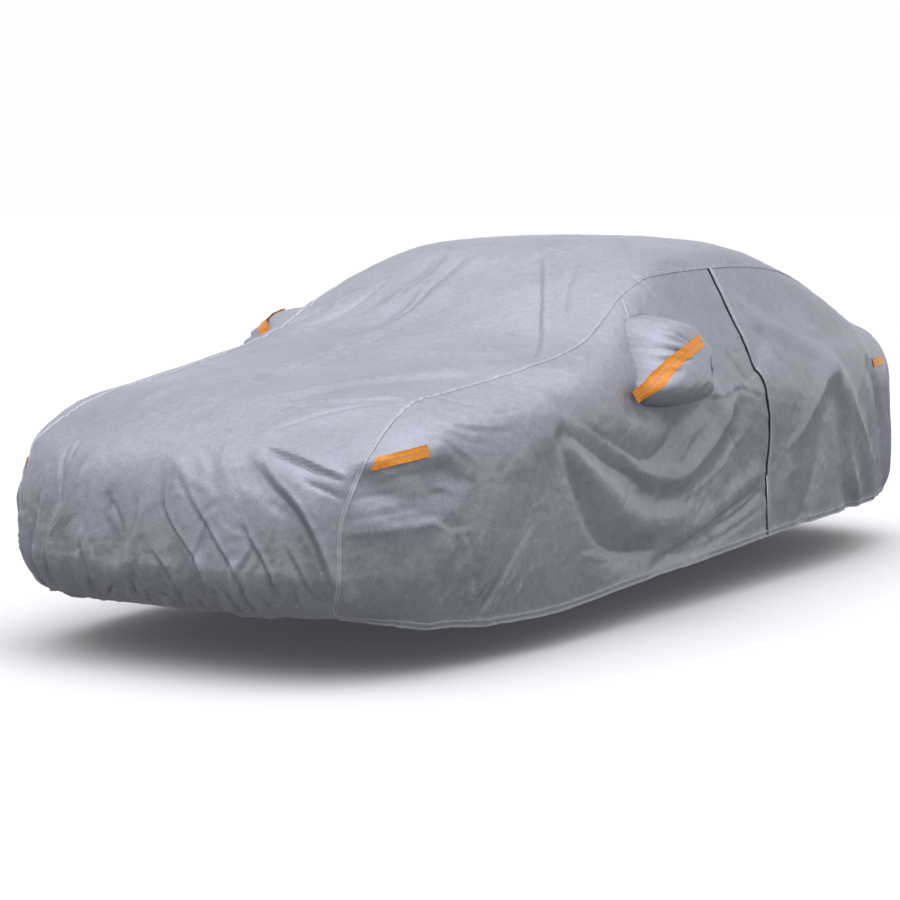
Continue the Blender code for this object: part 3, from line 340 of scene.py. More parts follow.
# The crisp lines inside the broad folds, each given one by one.
SHARP = {
    "front": [
        # kind, half width, depth at the start and the end, path of (y, height)
        ("tuck", 0.018, 0.004, 0.009, [(-0.356, 0.682), (-0.356, 0.617), (-0.381, 0.578), (-0.398, 0.513),
                                       (-0.445, 0.447), (-0.450, 0.370), (-0.474, 0.290)]),
        ("crease", 0.014, 0.003, 0.004, [(-0.477, 0.739), (-0.440, 0.644), (-0.413, 0.546)]),
        ("crease", 0.014, 0.003, 0.002, [(-0.438, 0.757), (-0.431, 0.661), (-0.454, 0.543)]),
        ("crease", 0.014, 0.004, 0.002, [(-0.304, 0.627), (-0.300, 0.554), (-0.300, 0.469)]),
        ("crease", 0.014, 0.005, 0.002, [(-0.189, 0.577), (-0.207, 0.536), (-0.193, 0.476)]),
        ("crease", 0.014, 0.005, 0.002, [(-0.189, 0.577), (-0.143, 0.513), (-0.122, 0.430)]),
        ("crease", 0.014, 0.005, 0.004, [(-0.075, 0.594), (-0.074, 0.518), (-0.104, 0.421)]),
        ("tuck", 0.018, 0.004, 0.008, [(0.034, 0.655), (0.037, 0.591), (0.088, 0.512), (0.150, 0.449),
                                       (0.225, 0.344), (0.222, 0.263)]),
        ("tuck", 0.017, 0.003, 0.006, [(0.083, 0.674), (0.173, 0.583), (0.233, 0.521), (0.310, 0.427),
                                       (0.373, 0.330), (0.381, 0.238)]),
        ("tuck", 0.017, 0.003, 0.007, [(0.360, 0.551), (0.413, 0.467), (0.462, 0.387), (0.488, 0.284)]),
        ("tuck", 0.020, 0.006, 0.010, [(0.377, 0.715), (0.458, 0.660), (0.552, 0.592), (0.610, 0.506),
                                       (0.640, 0.425), (0.663, 0.331)]),
        ("tuck", 0.018, 0.007, 0.006, [(0.359, 0.763), (0.503, 0.732), (0.671, 0.680)]),
        ("crease", 0.016, 0.006, 0.004, [(0.556, 0.670), (0.642, 0.640), (0.682, 0.618)]),
        ("crease", 0.014, 0.005, 0.005, [(-0.308, 0.417), (-0.289, 0.348), (-0.290, 0.254)]),
        ("crease", 0.013, 0.006, 0.006, [(-0.057, 0.384), (-0.129, 0.237)]),
        ("tuck", 0.016, 0.003, 0.006, [(-0.001, 0.428), (0.062, 0.359), (0.087, 0.288), (0.087, 0.218)]),
        ("tuck", 0.016, 0.003, 0.005, [(0.529, 0.472), (0.577, 0.375), (0.602, 0.270)]),
        ("crease", 0.011, 0.006, 0.006, [(-0.289, 0.300), (-0.305, 0.240)]),
        ("crease", 0.011, 0.006, 0.006, [(-0.195, 0.286), (-0.255, 0.235)]),
        ("crease", 0.011, 0.005, 0.006, [(-0.052, 0.283), (-0.070, 0.225)]),
        ("crease", 0.011, 0.005, 0.006, [(-0.016, 0.279), (0.064, 0.210)]),
        ("crease", 0.011, 0.006, 0.006, [(0.143, 0.263), (0.145, 0.205)]),
        ("crease", 0.012, 0.006, 0.006, [(0.283, 0.313), (0.312, 0.263), (0.327, 0.220)]),
        ("crease", 0.018, 0.004, 0.006, [(-0.560, 0.500), (-0.600, 0.360), (-0.610, 0.240)]),
        ("ridge", 0.018, 0.003, 0.005, [(0.360, 0.420), (0.350, 0.250)]),
        ("ridge", 0.016, 0.002, 0.005, [(-0.200, 0.360), (-0.210, 0.240)]),
    ],
    "left": [
        # kind, half width, depth at the start and the end, path of (x, height)
        ("crease", 0.018, 0.005, 0.003, [(2.25, 0.70), (2.18, 0.71), (2.04, 0.73)]),
        ("tuck", 0.016, 0.004, 0.004, [(1.93, 0.850), (1.80, 0.822), (1.62, 0.810)]),
        ("crease", 0.014, 0.005, 0.003, [(1.95, 0.825), (1.86, 0.785), (1.72, 0.750)]),
        ("crease", 0.014, 0.004, 0.003, [(1.78, 0.872), (1.62, 0.862), (1.46, 0.880)]),
        ("tuck", 0.016, 0.004, 0.003, [(1.99, 0.815), (1.93, 0.765), (1.84, 0.700)]),
        ("crease", 0.018, 0.007, 0.003, [(2.30, 0.62), (2.20, 0.63), (2.10, 0.59)]),
        ("crease", 0.018, 0.004, 0.005, [(2.33, 0.55), (2.20, 0.57), (2.10, 0.58)]),
        ("ridge", 0.020, 0.005, 0.002, [(2.35, 0.51), (2.24, 0.51), (2.10, 0.56)]),
        ("tuck", 0.022, 0.001, 0.001, [(1.37, 0.79), (1.51, 0.78), (1.63, 0.72), (1.73, 0.65), (1.77, 0.58),
                                       (1.80, 0.50)]),
        ("tuck", 0.012, 0.003, 0.007, [(1.61, 0.41), (1.67, 0.32), (1.74, 0.23), (1.79, 0.16)]),
        ("crease", 0.011, 0.003, 0.007, [(1.70, 0.38), (1.74, 0.28), (1.77, 0.17)]),
        ("crease", 0.011, 0.003, 0.006, [(1.55, 0.34), (1.61, 0.24), (1.66, 0.15)]),
        ("crease", 0.020, 0.010, 0.004, [(1.36, 0.78), (1.27, 0.64), (1.19, 0.51), (1.07, 0.37), (0.98, 0.32),
                                         (0.67, 0.27), (0.43, 0.28)]),
        ("crease", 0.018, 0.008, 0.006, [(1.32, 0.78), (1.14, 0.70), (0.92, 0.61), (0.77, 0.56),
                                         (0.65, 0.49)]),
        ("crease", 0.018, 0.004, 0.006, [(1.31, 0.86), (1.13, 0.78), (0.85, 0.67), (0.71, 0.62), (0.54, 0.65),
                                         (0.41, 0.74)]),
        ("ridge", 0.022, 0.003, 0.006, [(0.77, 0.59), (0.42, 0.53), (0.20, 0.61), (-0.05, 0.81)]),
        ("tuck", 0.018, 0.006, 0.004, [(0.51, 0.23), (0.19, 0.31), (-0.34, 0.43)]),
        ("crease", 0.012, 0.004, 0.004, [(-0.15, 0.87), (-0.21, 0.82)]),
        ("tuck", 0.016, 0.004, 0.003, [(0.26, 0.86), (0.04, 0.82), (-0.12, 0.85), (-0.36, 0.80)]),
        ("ridge", 0.022, 0.008, 0.003, [(-1.09, 0.88), (-0.89, 0.77), (-0.74, 0.65), (-0.54, 0.53),
                                        (-0.45, 0.45)]),
        ("ridge", 0.020, 0.006, 0.004, [(-1.09, 0.88), (-1.17, 0.86), (-1.28, 0.73), (-1.55, 0.47),
                                        (-1.74, 0.28)]),
        ("crease", 0.018, 0.004, 0.005, [(-1.65, 0.84), (-1.74, 0.63), (-1.84, 0.28)]),
        ("crease", 0.014, 0.005, 0.003, [(-0.18, 0.98), (-0.34, 0.99)]),
        ("crease", 0.015, 0.005, 0.002, [(-0.15, 0.97), (-0.22, 0.88), (-0.35, 0.91), (-0.50, 1.03)]),
        ("tuck", 0.018, 0.003, 0.006, [(0.10, 0.30), (-0.14, 0.34), (-0.38, 0.42)]),
        ("crease", 0.014, 0.003, 0.006, [(0.30, 0.22), (0.02, 0.25), (-0.36, 0.33)]),
        ("ridge", 0.018, 0.003, 0.005, [(0.46, 0.42), (0.16, 0.50), (-0.16, 0.66)]),
        ("crease", 0.014, 0.005, 0.002, [(-0.02, 0.70), (-0.10, 0.60), (-0.14, 0.46)]),
        ("crease", 0.016, 0.003, 0.006, [(-0.98, 0.72), (-0.94, 0.52), (-0.84, 0.30)]),
        ("ridge", 0.018, 0.003, 0.005, [(-1.22, 0.60), (-1.30, 0.44), (-1.42, 0.26)]),
    ],
    "top": [
        # kind, half width, depth at the start and the end, path of (x, y)
        ("crease", 0.018, 0.0022, 0.0018, [(1.831, -0.053), (1.453, -0.100), (1.175, -0.111), (0.970, -0.132),
                                           (0.850, -0.119)]),
        ("crease", 0.020, 0.0016, 0.0014, [(0.770, -0.602), (0.696, -0.485), (0.557, -0.432), (0.433, -0.415),
                                           (0.370, -0.397)]),
        ("tuck", 0.018, 0.0016, 0.0014, [(0.586, -0.267), (0.491, -0.256), (0.327, -0.263), (0.189, -0.276)]),
        ("tuck", 0.018, 0.0024, 0.0020, [(0.738, -0.158), (0.636, -0.139), (0.494, -0.158), (0.332, -0.163),
                                         (0.237, -0.159)]),
        ("tuck", 0.016, 0.0024, 0.0026, [(0.098, 0.156), (0.458, 0.366), (0.634, 0.461), (0.829, 0.572),
                                         (1.060, 0.674)]),
        ("crease", 0.020, 0.0020, 0.0016, [(0.163, 0.356), (0.314, 0.421), (0.477, 0.484), (0.713, 0.616)]),
        ("crease", 0.040, 0.0040, 0.0050, [(0.579, -0.555), (0.661, -0.658), (0.731, -0.734)]),
        ("tuck", 0.016, 0.0024, 0.0030, [(2.032, 0.201), (1.958, 0.422), (1.826, 0.600)]),
        ("crease", 0.018, 0.0020, 0.0024, [(-0.185, 0.358), (-0.032, 0.471), (0.095, 0.580)]),
        ("crease", 0.016, 0.0022, 0.0018, [(2.210, 0.320), (2.090, 0.410), (1.960, 0.520), (1.860, 0.600)]),
        ("crease", 0.018, 0.0018, 0.0018, [(1.720, 0.678), (1.700, 0.787), (1.574, 0.833)]),
        ("tuck", 0.018, 0.0014, 0.0018, [(-1.050, 0.200), (-1.350, 0.330), (-1.700, 0.520)]),
        ("tuck", 0.018, 0.0014, 0.0018, [(-1.080, -0.180), (-1.400, -0.300), (-1.720, -0.500)]),
        ("crease", 0.018, 0.0016, 0.0016, [(-1.060, 0.000), (-1.400, 0.060), (-1.740, 0.020)]),
    ],
}
SHARP["right"] = [row for row in SHARP["left"] if row[4][0][0] < 2.2]
SHARP_RIGHT_SHARE = 0.7
SHARP_STRENGTH = {"front": 2.7, "left": 1.25, "right": 1.2, "top": 3.6}
SHARP_NARROW = {"front": 0.66, "left": 0.85, "right": 0.95, "top": 0.9}
SCATTER_STRENGTH = 1.3

# Small wrinkles that lie about at random inside a zone of a face.
SCATTER = [
    # face, how many, middle, half spread, angle and its spread in degrees, length, half width, depth
    ("front", 46, (0.00, 0.25), (0.56, 0.04), 88, 24, (0.04, 0.10), (0.008, 0.013), (0.0034, 0.0076)),
    ("front", 30, (0.00, 0.44), (0.58, 0.14), 80, 26, (0.06, 0.20), (0.008, 0.014), (0.0018, 0.0050)),
    ("left", 30, (1.78, 0.22), (0.14, 0.06), 110, 20, (0.06, 0.14), (0.009, 0.014), (0.0016, 0.0036)),
    ("front", 34, (0.00, 0.33), (0.58, 0.08), 88, 14, (0.08, 0.20), (0.010, 0.018), (0.0024, 0.0070)),
    ("front", 26, (0.00, 0.52), (0.60, 0.12), 70, 50, (0.08, 0.22), (0.014, 0.026), (0.0008, 0.0024)),
    ("front", 16, (0.35, 0.62), (0.28, 0.10), 145, 18, (0.10, 0.24), (0.014, 0.024), (0.0010, 0.0030)),
    ("left", 26, (2.06, 0.58), (0.18, 0.12), 8, 20, (0.08, 0.22), (0.012, 0.022), (0.0010, 0.0036)),
    ("left", 24, (2.02, 0.32), (0.22, 0.12), 92, 20, (0.08, 0.20), (0.013, 0.024), (0.0010, 0.0040)),
    ("left", 22, (1.66, 0.24), (0.14, 0.07), 100, 14, (0.06, 0.14), (0.009, 0.016), (0.0014, 0.0040)),
    ("left", 24, (1.30, 0.58), (0.34, 0.22), 100, 26, (0.08, 0.26), (0.010, 0.018), (0.0006, 0.0018)),
    ("left", 24, (0.55, 0.60), (0.44, 0.18), 152, 20, (0.10, 0.28), (0.010, 0.018), (0.0006, 0.0018)),
    ("left", 22, (0.05, 0.45), (0.34, 0.20), 124, 20, (0.10, 0.30), (0.010, 0.018), (0.0006, 0.0020)),
    ("left", 26, (0.60, 0.26), (0.60, 0.08), 10, 16, (0.10, 0.30), (0.012, 0.020), (0.0008, 0.0030)),
    ("left", 28, (-1.00, 0.60), (0.40, 0.22), 112, 30, (0.10, 0.26), (0.013, 0.024), (0.0008, 0.0030)),
    ("left", 30, (-1.60, 0.45), (0.30, 0.20), 104, 20, (0.10, 0.26), (0.013, 0.024), (0.0008, 0.0034)),
    ("left", 20, (-0.45, 1.00), (0.14, 0.12), 30, 60, (0.05, 0.12), (0.010, 0.018), (0.0006, 0.0020)),
    ("left", 26, (-1.05, 0.30), (0.80, 0.06), 92, 20, (0.06, 0.14), (0.010, 0.020), (0.0008, 0.0030)),
    ("right", 60, (0.60, 0.45), (1.10, 0.25), 135, 35, (0.10, 0.28), (0.014, 0.026), (0.0008, 0.0034)),
    ("right", 60, (-1.10, 0.45), (0.90, 0.24), 98, 30, (0.10, 0.26), (0.014, 0.026), (0.0008, 0.0034)),
    ("right", 30, (2.02, 0.42), (0.22, 0.20), 80, 50, (0.08, 0.22), (0.014, 0.024), (0.0008, 0.0034)),
    ("rear", 50, (0.00, 0.36), (0.62, 0.12), 92, 16, (0.08, 0.24), (0.013, 0.024), (0.0012, 0.0044)),
    ("rear", 26, (0.00, 0.66), (0.60, 0.16), 80, 50, (0.10, 0.26), (0.014, 0.026), (0.0008, 0.0024)),
    ("top", 30, (1.70, 0.00), (0.36, 0.52), 20, 70, (0.10, 0.30), (0.018, 0.030), (0.0004, 0.0012)),
    ("top", 24, (0.60, 0.00), (0.40, 0.50), 20, 60, (0.12, 0.34), (0.022, 0.034), (0.0004, 0.0012)),
    ("top", 20, (-0.50, 0.00), (0.60, 0.52), 40, 60, (0.12, 0.30), (0.024, 0.036), (0.0003, 0.0009)),
    ("top", 24, (-1.60, 0.00), (0.50, 0.52), 20, 60, (0.12, 0.30), (0.022, 0.034), (0.0004, 0.0012)),
]
SCATTER_BEND = 0.25      # how far a small wrinkle bends, as a share of its length
SEED = 41


def smooth_path(points, count):
    """Evenly spaced points on a smooth curve through the given ones."""
    pts = np.array(points, dtype=float)
    gaps = np.linalg.norm(np.diff(pts, axis=0), axis=1)
    place = np.concatenate([[0.0], np.cumsum(gaps)])
    where = np.linspace(0.0, place[-1], count)
    columns = []
    for axis in range(pts.shape[1]):
        columns.append(smooth_table(where, list(zip(place, pts[:, axis]))))
    return np.stack(columns, axis=1)


def lay_path(face, points, count=PATH_POINTS):
    """Lay a path drawn in the plane of a face on to the plain shape."""
    first, second, laid, start = FACES[face]
    flat = smooth_path(points, count)
    path = np.zeros((count, 3))
    path[:, first] = flat[:, 0]
    path[:, second] = flat[:, 1]
    path[:, laid] = start
    along = np.zeros((count, 3))
    along[:, laid] = math.copysign(1.0, start)
    return settle(path, along, LAY_ROUNDS)


def right_row(row, share):
    """A fold of the left side as it lies on the right one."""
    kind, width, first, last, points = row
    moved = [(x + RIGHT_SHIFT * (1 - abs(x) / SHIFT_END), z) for x, z in points]
    return (kind.replace("tuck", "tuck_back"), width, first * share, last * share, moved)


def scattered():
    """Random short folds of all zones, the same in each run."""
    draw = np.random.default_rng(SEED)
    rows = []
    for face, count, middle, spread, angle, turn, lengths, widths, depths in SCATTER:
        for _ in range(count):
            at = np.array(middle) + draw.uniform(-1, 1, 2) * spread
            way = math.radians(angle + turn * draw.uniform(-1, 1))
            along = np.array([math.cos(way), math.sin(way)])
            half = along * draw.uniform(*lengths) / 2
            bend = np.array([-half[1], half[0]]) * draw.uniform(-1, 1) * SCATTER_BEND
            kind = ("ridge", "crease", "crease", "tuck")[draw.integers(4)]
            depth = draw.uniform(*depths) * SCATTER_STRENGTH
            path = [tuple(at - half), tuple(at + bend), tuple(at + half)]
            rows.append((face, (kind + "_end", draw.uniform(*widths), depth, depth, path)))
    return rows


def make_folds():
    """Every fold as (kind, half width, depth at both ends, laid path)."""
    rows = []
    tables = {"front": FRONT_FOLDS, "rear": REAR_FOLDS, "left": SIDE_FOLDS, "top": TOP_FOLDS}
    for face, table in tables.items():
        gain = FOLD_STRENGTH[face]
        rows += [(face, (r[0], r[1], r[2] * gain, r[3] * gain, r[4])) for r in table]
    for r in SIDE_FOLDS:
        rows.append(("right", right_row(r, RIGHT_SHARE * FOLD_STRENGTH["left"])))
    for face, table in SHARP.items():
        for r in table:
            gain = SHARP_STRENGTH[face]
            row = (r[0] + "_end", r[1] * SHARP_NARROW[face], r[2] * gain, r[3] * gain, r[4])
            rows.append((face, right_row(row, SHARP_RIGHT_SHARE) if face == "right" else row))
    rows += scattered()
    return [(*row[:4], lay_path(face, row[4])) for face, row in rows]


def fold_height(p, normal, folds):
    """Height of the folds above the plain shape at points of it."""
    height = np.zeros(len(p))
    for kind, width, first, last, path in folds:
        reach = FOLD_REACH * width
        near = np.flatnonzero(np.all((p > path.min(0) - reach) & (p < path.max(0) + reach), axis=1))
        if not len(near):
            continue
        q = p[near]
        a = path[:-1]
        run = path[1:] - a
        size = (run * run).sum(-1)
        t = np.clip(((q[:, None, :] - a) * run).sum(-1) / size, 0.0, 1.0)
        away = q[:, None, :] - (a + t[..., None] * run)
        far = np.linalg.norm(away, axis=-1)
        best = far.argmin(1)
        rows = np.arange(len(q))
        share = (best + t[rows, best]) / len(run)
        depth = first + (last - first) * share
        u = far[rows, best] / width
        bump = np.exp(-u * u)
        if kind.endswith("_end"):
            # crisp folds have a narrow crest and run out at both ends
            bump = 0.45 * bump + 0.55 * np.exp(-2.2 * u)
            depth = depth * np.sqrt(np.clip(4 * share * (1 - share), 0, 1))
        if kind.startswith("crease"):
            bump = -bump
        elif kind.startswith("tuck"):
            across = unit(np.cross(normal[near], run[best]))
            side = (away[rows, best] * across).sum(-1) / width
            if kind.startswith("tuck_back"):
                side = -side
            bump = TUCK_SHARE * side * np.exp(-u * u)
            if kind.endswith("_end"):
                bump = 0.5 * bump + 0.5 * np.sign(side) * np.abs(side) ** 0.6 * np.exp(-0.9 * u)
        height[near] += depth * bump
    return height


# ---------------------------------------------------------------- small relief
CRUMPLE = [
    # wavelength, height
    (0.230, 0.0034),
    (0.095, 0.0019),
    (0.045, 0.0010),
]
CRUMPLE_BENT = 0.35      # how far the crumple pattern is bent
CALM_TOP = 0.75          # share of the crumple left on the taut top


def crumple(p, normal):
    """Soft broken creases all over, shallower on the taut top."""
    height = np.zeros(len(p))
    for wave, size in CRUMPLE:
        bent = [Vector(v) + CRUMPLE_BENT * noise.noise_vector(Vector(v) * 0.6) for v in p / wave]
        values = np.array([noise.noise(v) for v in bent])
        height += size * (0.35 - np.abs(values)) * 1.6
    calm = 1 - (1 - CALM_TOP) * np.clip(normal[:, 2], 0, 1)
    return height * calm


def nearest_on(curve, p, reach):
    """Distance from each point to a curve, and how far along it; far points get 9."""
    gaps = np.linalg.norm(np.diff(curve, axis=0), axis=1)
    place = np.concatenate([[0.0], np.cumsum(gaps)])
    far = np.full(len(p), 9.0)
    along = np.zeros(len(p))
    near = np.flatnonzero(np.all((p > curve.min(0) - reach) & (p < curve.max(0) + reach), axis=1))
    tree = KDTree(len(curve))
    for index, point in enumerate(curve):
        tree.insert(point, index)
    tree.balance()
    for row in near:
        _, index, gap = tree.find(p[row])
        far[row] = gap
        along[row] = place[index]
    return far, along


def ripple(along, wave, seed):
    """Uneven notches along a sewn line, some deep and most shallow."""
    fine = np.array([noise.noise(Vector((s / wave, seed, 0.5))) for s in along])
    size = np.array([noise.noise(Vector((s / wave / 4, seed, 3.5))) for s in along])
    return (0.25 - np.abs(fine)) * 2.4 * np.clip(0.8 + 1.6 * size, 0.1, 2.0)


# Sewn lines that pucker the cloth: wavelength, height and reach of the waves.
PUCKERS = {
    "seam": (0.034, 0.0026, 0.022),
    "corner": (0.036, 0.0030, 0.026),
    "hem": (0.090, 0.0014, 0.030),
    "elastic": (0.060, 0.0020, 0.050),
    "zip": (0.080, 0.0022, 0.026),
    "pocket": (0.034, 0.0030, 0.024),
}


def pucker(p, lines):
    """Height of the waves beside the sewn lines."""
    height = np.zeros(len(p))
    for seed, (kind, curve) in enumerate(lines):
        wave, size, reach = PUCKERS[kind]
        far, along = nearest_on(curve, p, 3 * reach)
        near = far < 3 * reach
        height[near] += size * ripple(along[near], wave, seed) * np.exp(-far[near] / reach)
    return height


UNDER_HEIGHT = 0.040     # how much of the front and rear ends is drawn under by the elastic
UNDER_REACH = 0.062
UNDER_START = 0.236
UNDER_FROM = 2.05        # the drawing-under begins this far from the middle
UNDER_SPAN = 0.20
UNDER_CURVE = 1.3


def drawn_under(p):
    """Inward move of the lowest cloth at the front and rear, where elastic draws it under."""
    lack = np.clip((UNDER_START - p[:, 2]) / UNDER_HEIGHT, 0, 1)
    ends = np.clip((np.abs(p[:, 0]) - UNDER_FROM) / UNDER_SPAN, 0, 1)
    move = np.zeros(p.shape)
    move[:, 0] = -np.sign(p[:, 0]) * UNDER_REACH * lack ** UNDER_CURVE * ends ** 2
    return move


def cloth_height(p):
    """Everything that lies above the plain shape at points of it: [height, normal]."""
    normal = outward(p)
    height = fold_height(p, normal, folds) + crumple(p, normal) + pucker(p, sewn_lines)
    return height, normal


# ---------------------------------------------------------------- grids
POINTS_PER_ROW = 40


def curve_through(table):
    return settle(smooth_path(table, POINTS_PER_ROW * len(table)), None, 14)


def run_of(curve):
    gaps = np.linalg.norm(np.diff(curve, axis=0), axis=1)
    return np.concatenate([[0.0], np.cumsum(gaps)])


def cut_at(curve, where):
    place = run_of(curve)
    return np.stack([np.interp(where, place, curve[:, k]) for k in range(3)], axis=1)


def cut_even(curve, cells):
    return cut_at(curve, np.linspace(0.0, run_of(curve)[-1], cells + 1))


def cut_by(curve, pitches):
    """Stations along a curve whose spacing follows a table of (distance, pitch)."""
    place = np.linspace(0.0, run_of(curve)[-1], 2000)
    pitch = np.interp(place, [row[0] for row in pitches], [row[1] for row in pitches])
    count = np.concatenate([[0.0], np.cumsum(np.diff(place) / pitch[1:])])
    where = np.interp(np.linspace(0.0, count[-1], int(count[-1]) + 1), count, place)
    return cut_at(curve, where)


def nearest(curve, point):
    return int(np.linalg.norm(curve - point, axis=1).argmin())


def along_curve(curve, index, distance):
    place = run_of(curve)
    return int(np.abs(place - place[index] - distance).argmin())


def patch(low, high, start, end):
    """Smooth grid of plain points between four edges: [row upwards, column]."""
    v = np.linspace(0.0, 1.0, len(start))[:, None, None]
    u = np.linspace(0.0, 1.0, len(low))[None, :, None]

    def blend(lo, hi, st, en):
        rim = (1 - v) * lo[None] + v * hi[None] + (1 - u) * st[:, None] + u * en[:, None]
        corners = (1 - v) * ((1 - u) * lo[0] + u * lo[-1]) + v * ((1 - u) * hi[0] + u * hi[-1])
        return rim - corners

    grid = blend(low, high, start, end)
    along = unit(blend(outward(low), outward(high), outward(start), outward(end)))
    grid[1:-1, 1:-1] = settle(grid[1:-1, 1:-1], along[1:-1, 1:-1])
    return grid


def mirrored(curve):
    return curve * np.array([1.0, -1.0, 1.0])


# Distances above the lower edge of the rows of the turned-up hem, and how far
# each stands out: a rolled edge, a flat doubled band and its step.
HEM_ROWS = [
    # distance, rise
    (0.0, 0.0),
    (0.003, HEM_RISE),
    (0.014, 0.9 * HEM_RISE),
    (HEM_BAND, HEM_RISE),
    (HEM_BAND + HEM_STEP, 0.0),
]
HEM_CLEAR = 0.008        # least distance from the band to the next row


def add_hem_rows(grid, rise):
    """Put the rows of the hem band in place of the lowest rows of a grid."""
    low = grid[0]
    gap = np.linalg.norm(grid - low, axis=-1).min(1)
    keep = int(np.argmax(gap > HEM_BAND + HEM_STEP + HEM_CLEAR))
    way = unit(grid[keep] - low)
    rows = [low] + [settle(low + way * far) for far, _ in HEM_ROWS[1:]]
    rises = [np.full(low.shape[:1], up) for _, up in HEM_ROWS]
    return np.concatenate([np.array(rows), grid[keep:]]), np.concatenate([np.array(rises), rise[keep:]])


def flip(grid, rise):
    return grid[::-1], rise[::-1]


def grid_faces(rows, cols):
    i, j = np.meshgrid(np.arange(rows - 1), np.arange(cols - 1), indexing="ij")
    a = (i * cols + j).reshape(-1)
    return np.stack([a, a + 1, a + cols + 1, a + cols], axis=1)


def grid_cut(grid):
    """Where each point of a grid lies on the flat cloth, in metres: [across, along]."""
    across = np.concatenate([[0.0], np.cumsum(np.linalg.norm(np.diff(grid, axis=1), axis=-1).mean(0))])
    upward = np.concatenate([[0.0], np.cumsum(np.linalg.norm(np.diff(grid, axis=0), axis=-1).mean(1))])
    return np.stack(np.broadcast_arrays(across[None, :], upward[:, None]), axis=-1).reshape(-1, 2)


# ---------------------------------------------------------------- meshes
def point_normals(points, faces):
    """Normals of a sheet of quads, from the diagonals of its faces."""
    across = np.cross(points[faces[:, 2]] - points[faces[:, 0]], points[faces[:, 3]] - points[faces[:, 1]])
    out = np.zeros(points.shape)
    for corner in range(4):
        np.add.at(out, faces[:, corner], across)
    return unit(out)


def add_mesh(name, points, faces, mat, cut=None):
    """A shown piece with its points in the part's frame and its cut as a UV map."""
    mesh = bpy.data.meshes.new("shown_" + name)
    mesh.from_pydata((points - ORIGIN).tolist(), [], [list(f) for f in faces])
    mesh.update()
    if cut is not None:
        layer = mesh.uv_layers.new(name="cut")
        index = np.zeros(len(mesh.loops), dtype=np.int32)
        mesh.loops.foreach_get("vertex_index", index)
        layer.data.foreach_set("uv", cut[index].astype(np.float32).reshape(-1))
    mesh.shade_smooth()
    mesh.set_sharp_from_angle(angle=math.radians(62))
    mesh.materials.append(mat)
    item = bpy.data.objects.new("shown_" + name, mesh)
    bpy.context.scene.collection.objects.link(item)
    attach(item, "root")
    return item


def closed_sheet(points, faces, thickness, away):
    """Outer and inner layer of a cloth with its rim closed, and the outer layer's normals."""
    normal = point_normals(points, faces)
    if (normal * away).sum() < 0:
        faces = faces[:, ::-1]
        normal = -normal
    count = len(points)
    inner = points - normal * np.broadcast_to(thickness, count)[:, None]
    pairs = np.concatenate([faces[:, [k, (k + 1) % 4]] for k in range(4)])
    codes = pairs[:, 0] * count + pairs[:, 1]
    back = pairs[:, 1] * count + pairs[:, 0]
    rim = pairs[~np.isin(codes, back)]
    sides = np.stack([rim[:, 1], rim[:, 0], rim[:, 0] + count, rim[:, 1] + count], axis=1)
    every = np.concatenate([faces, faces[:, ::-1] + count, sides])
    return np.concatenate([points, inner]), every, normal


def compact(points, faces, *more):
    """Leave out the points that no face uses."""
    used, index = np.unique(faces, return_inverse=True)
    return [points[used], index.reshape(faces.shape)] + [m[used] for m in more]


def cloth_piece(name, grid, rise, mat, outline=None, **facts):
    """A panel: its grid raised by all folds, one cloth thick, with an optional hole."""
    faces = grid_faces(*grid.shape[:2])
    cut = grid_cut(grid)
    plain = grid.reshape(-1, 3).copy()
    rise = rise.reshape(-1)
    if outline is not None:
        faces, plain = open_hole(plain, faces, outline)
    plain, faces, cut, rise = compact(plain, faces, cut, rise)
    height, normal = cloth_height(plain)
    outer = plain + normal * (height + rise)[:, None] + drawn_under(plain)
    points, every, _ = closed_sheet(outer, faces, CLOTH + rise, normal)
    item = add_mesh(name, points, every, mat, np.concatenate([cut, cut]))
    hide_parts(name)
    carriers[name] = BVHTree.FromPolygons(outer.tolist(), faces.tolist())
    return item


def centre_piece(grid, rise, mat):
    """The long middle panel, as meshes that share the normals of the whole."""
    shape = grid.shape[:2]
    plain = grid.reshape(-1, 3)
    height, normal = cloth_height(plain)
    outer = plain + normal * (height + rise.reshape(-1))[:, None] + drawn_under(plain)
    faces = grid_faces(*shape)
    turned = point_normals(outer, faces)
    turned *= np.sign((turned * normal).sum())
    cut = grid_cut(grid)
    stations = cut.reshape(*shape, 2)[:, 0, 1]
    for name, first, last, flat, area in CENTRE_PARTS:
        start = int(np.abs(stations - first).argmin())
        end = int(np.abs(stations - last).argmin()) + 1
        rows = np.s_[start * shape[1]:end * shape[1]]
        count = (end - start) * shape[1]
        thick = (CLOTH + rise.reshape(-1)[rows])
        inner = outer[rows] - turned[rows] * thick[:, None]
        part = grid_faces(end - start, shape[1])
        if (np.cross(outer[rows][part[:, 2]] - outer[rows][part[:, 0]], outer[rows][part[:, 3]]
                     - outer[rows][part[:, 1]]) * turned[rows][part[:, 0]]).sum() < 0:
            part = part[:, ::-1]
        pairs = np.concatenate([part[:, [k, (k + 1) % 4]] for k in range(4)])
        rim = pairs[~np.isin(pairs[:, 0] * count + pairs[:, 1], pairs[:, 1] * count + pairs[:, 0])]
        sides = np.stack([rim[:, 1], rim[:, 0], rim[:, 0] + count, rim[:, 1] + count], axis=1)
        every = np.concatenate([part, part[:, ::-1] + count, sides])
        points = np.concatenate([outer[rows], inner])
        item = add_mesh(name, points, every, mat, np.concatenate([cut[rows], cut[rows]]))
        given = np.concatenate([turned[rows], -turned[rows]])
        item.data.normals_split_custom_set_from_vertices(given.tolist())
        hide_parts("centre_panel")
    carriers["centre_panel"] = BVHTree.FromPolygons(outer.tolist(), faces.tolist())


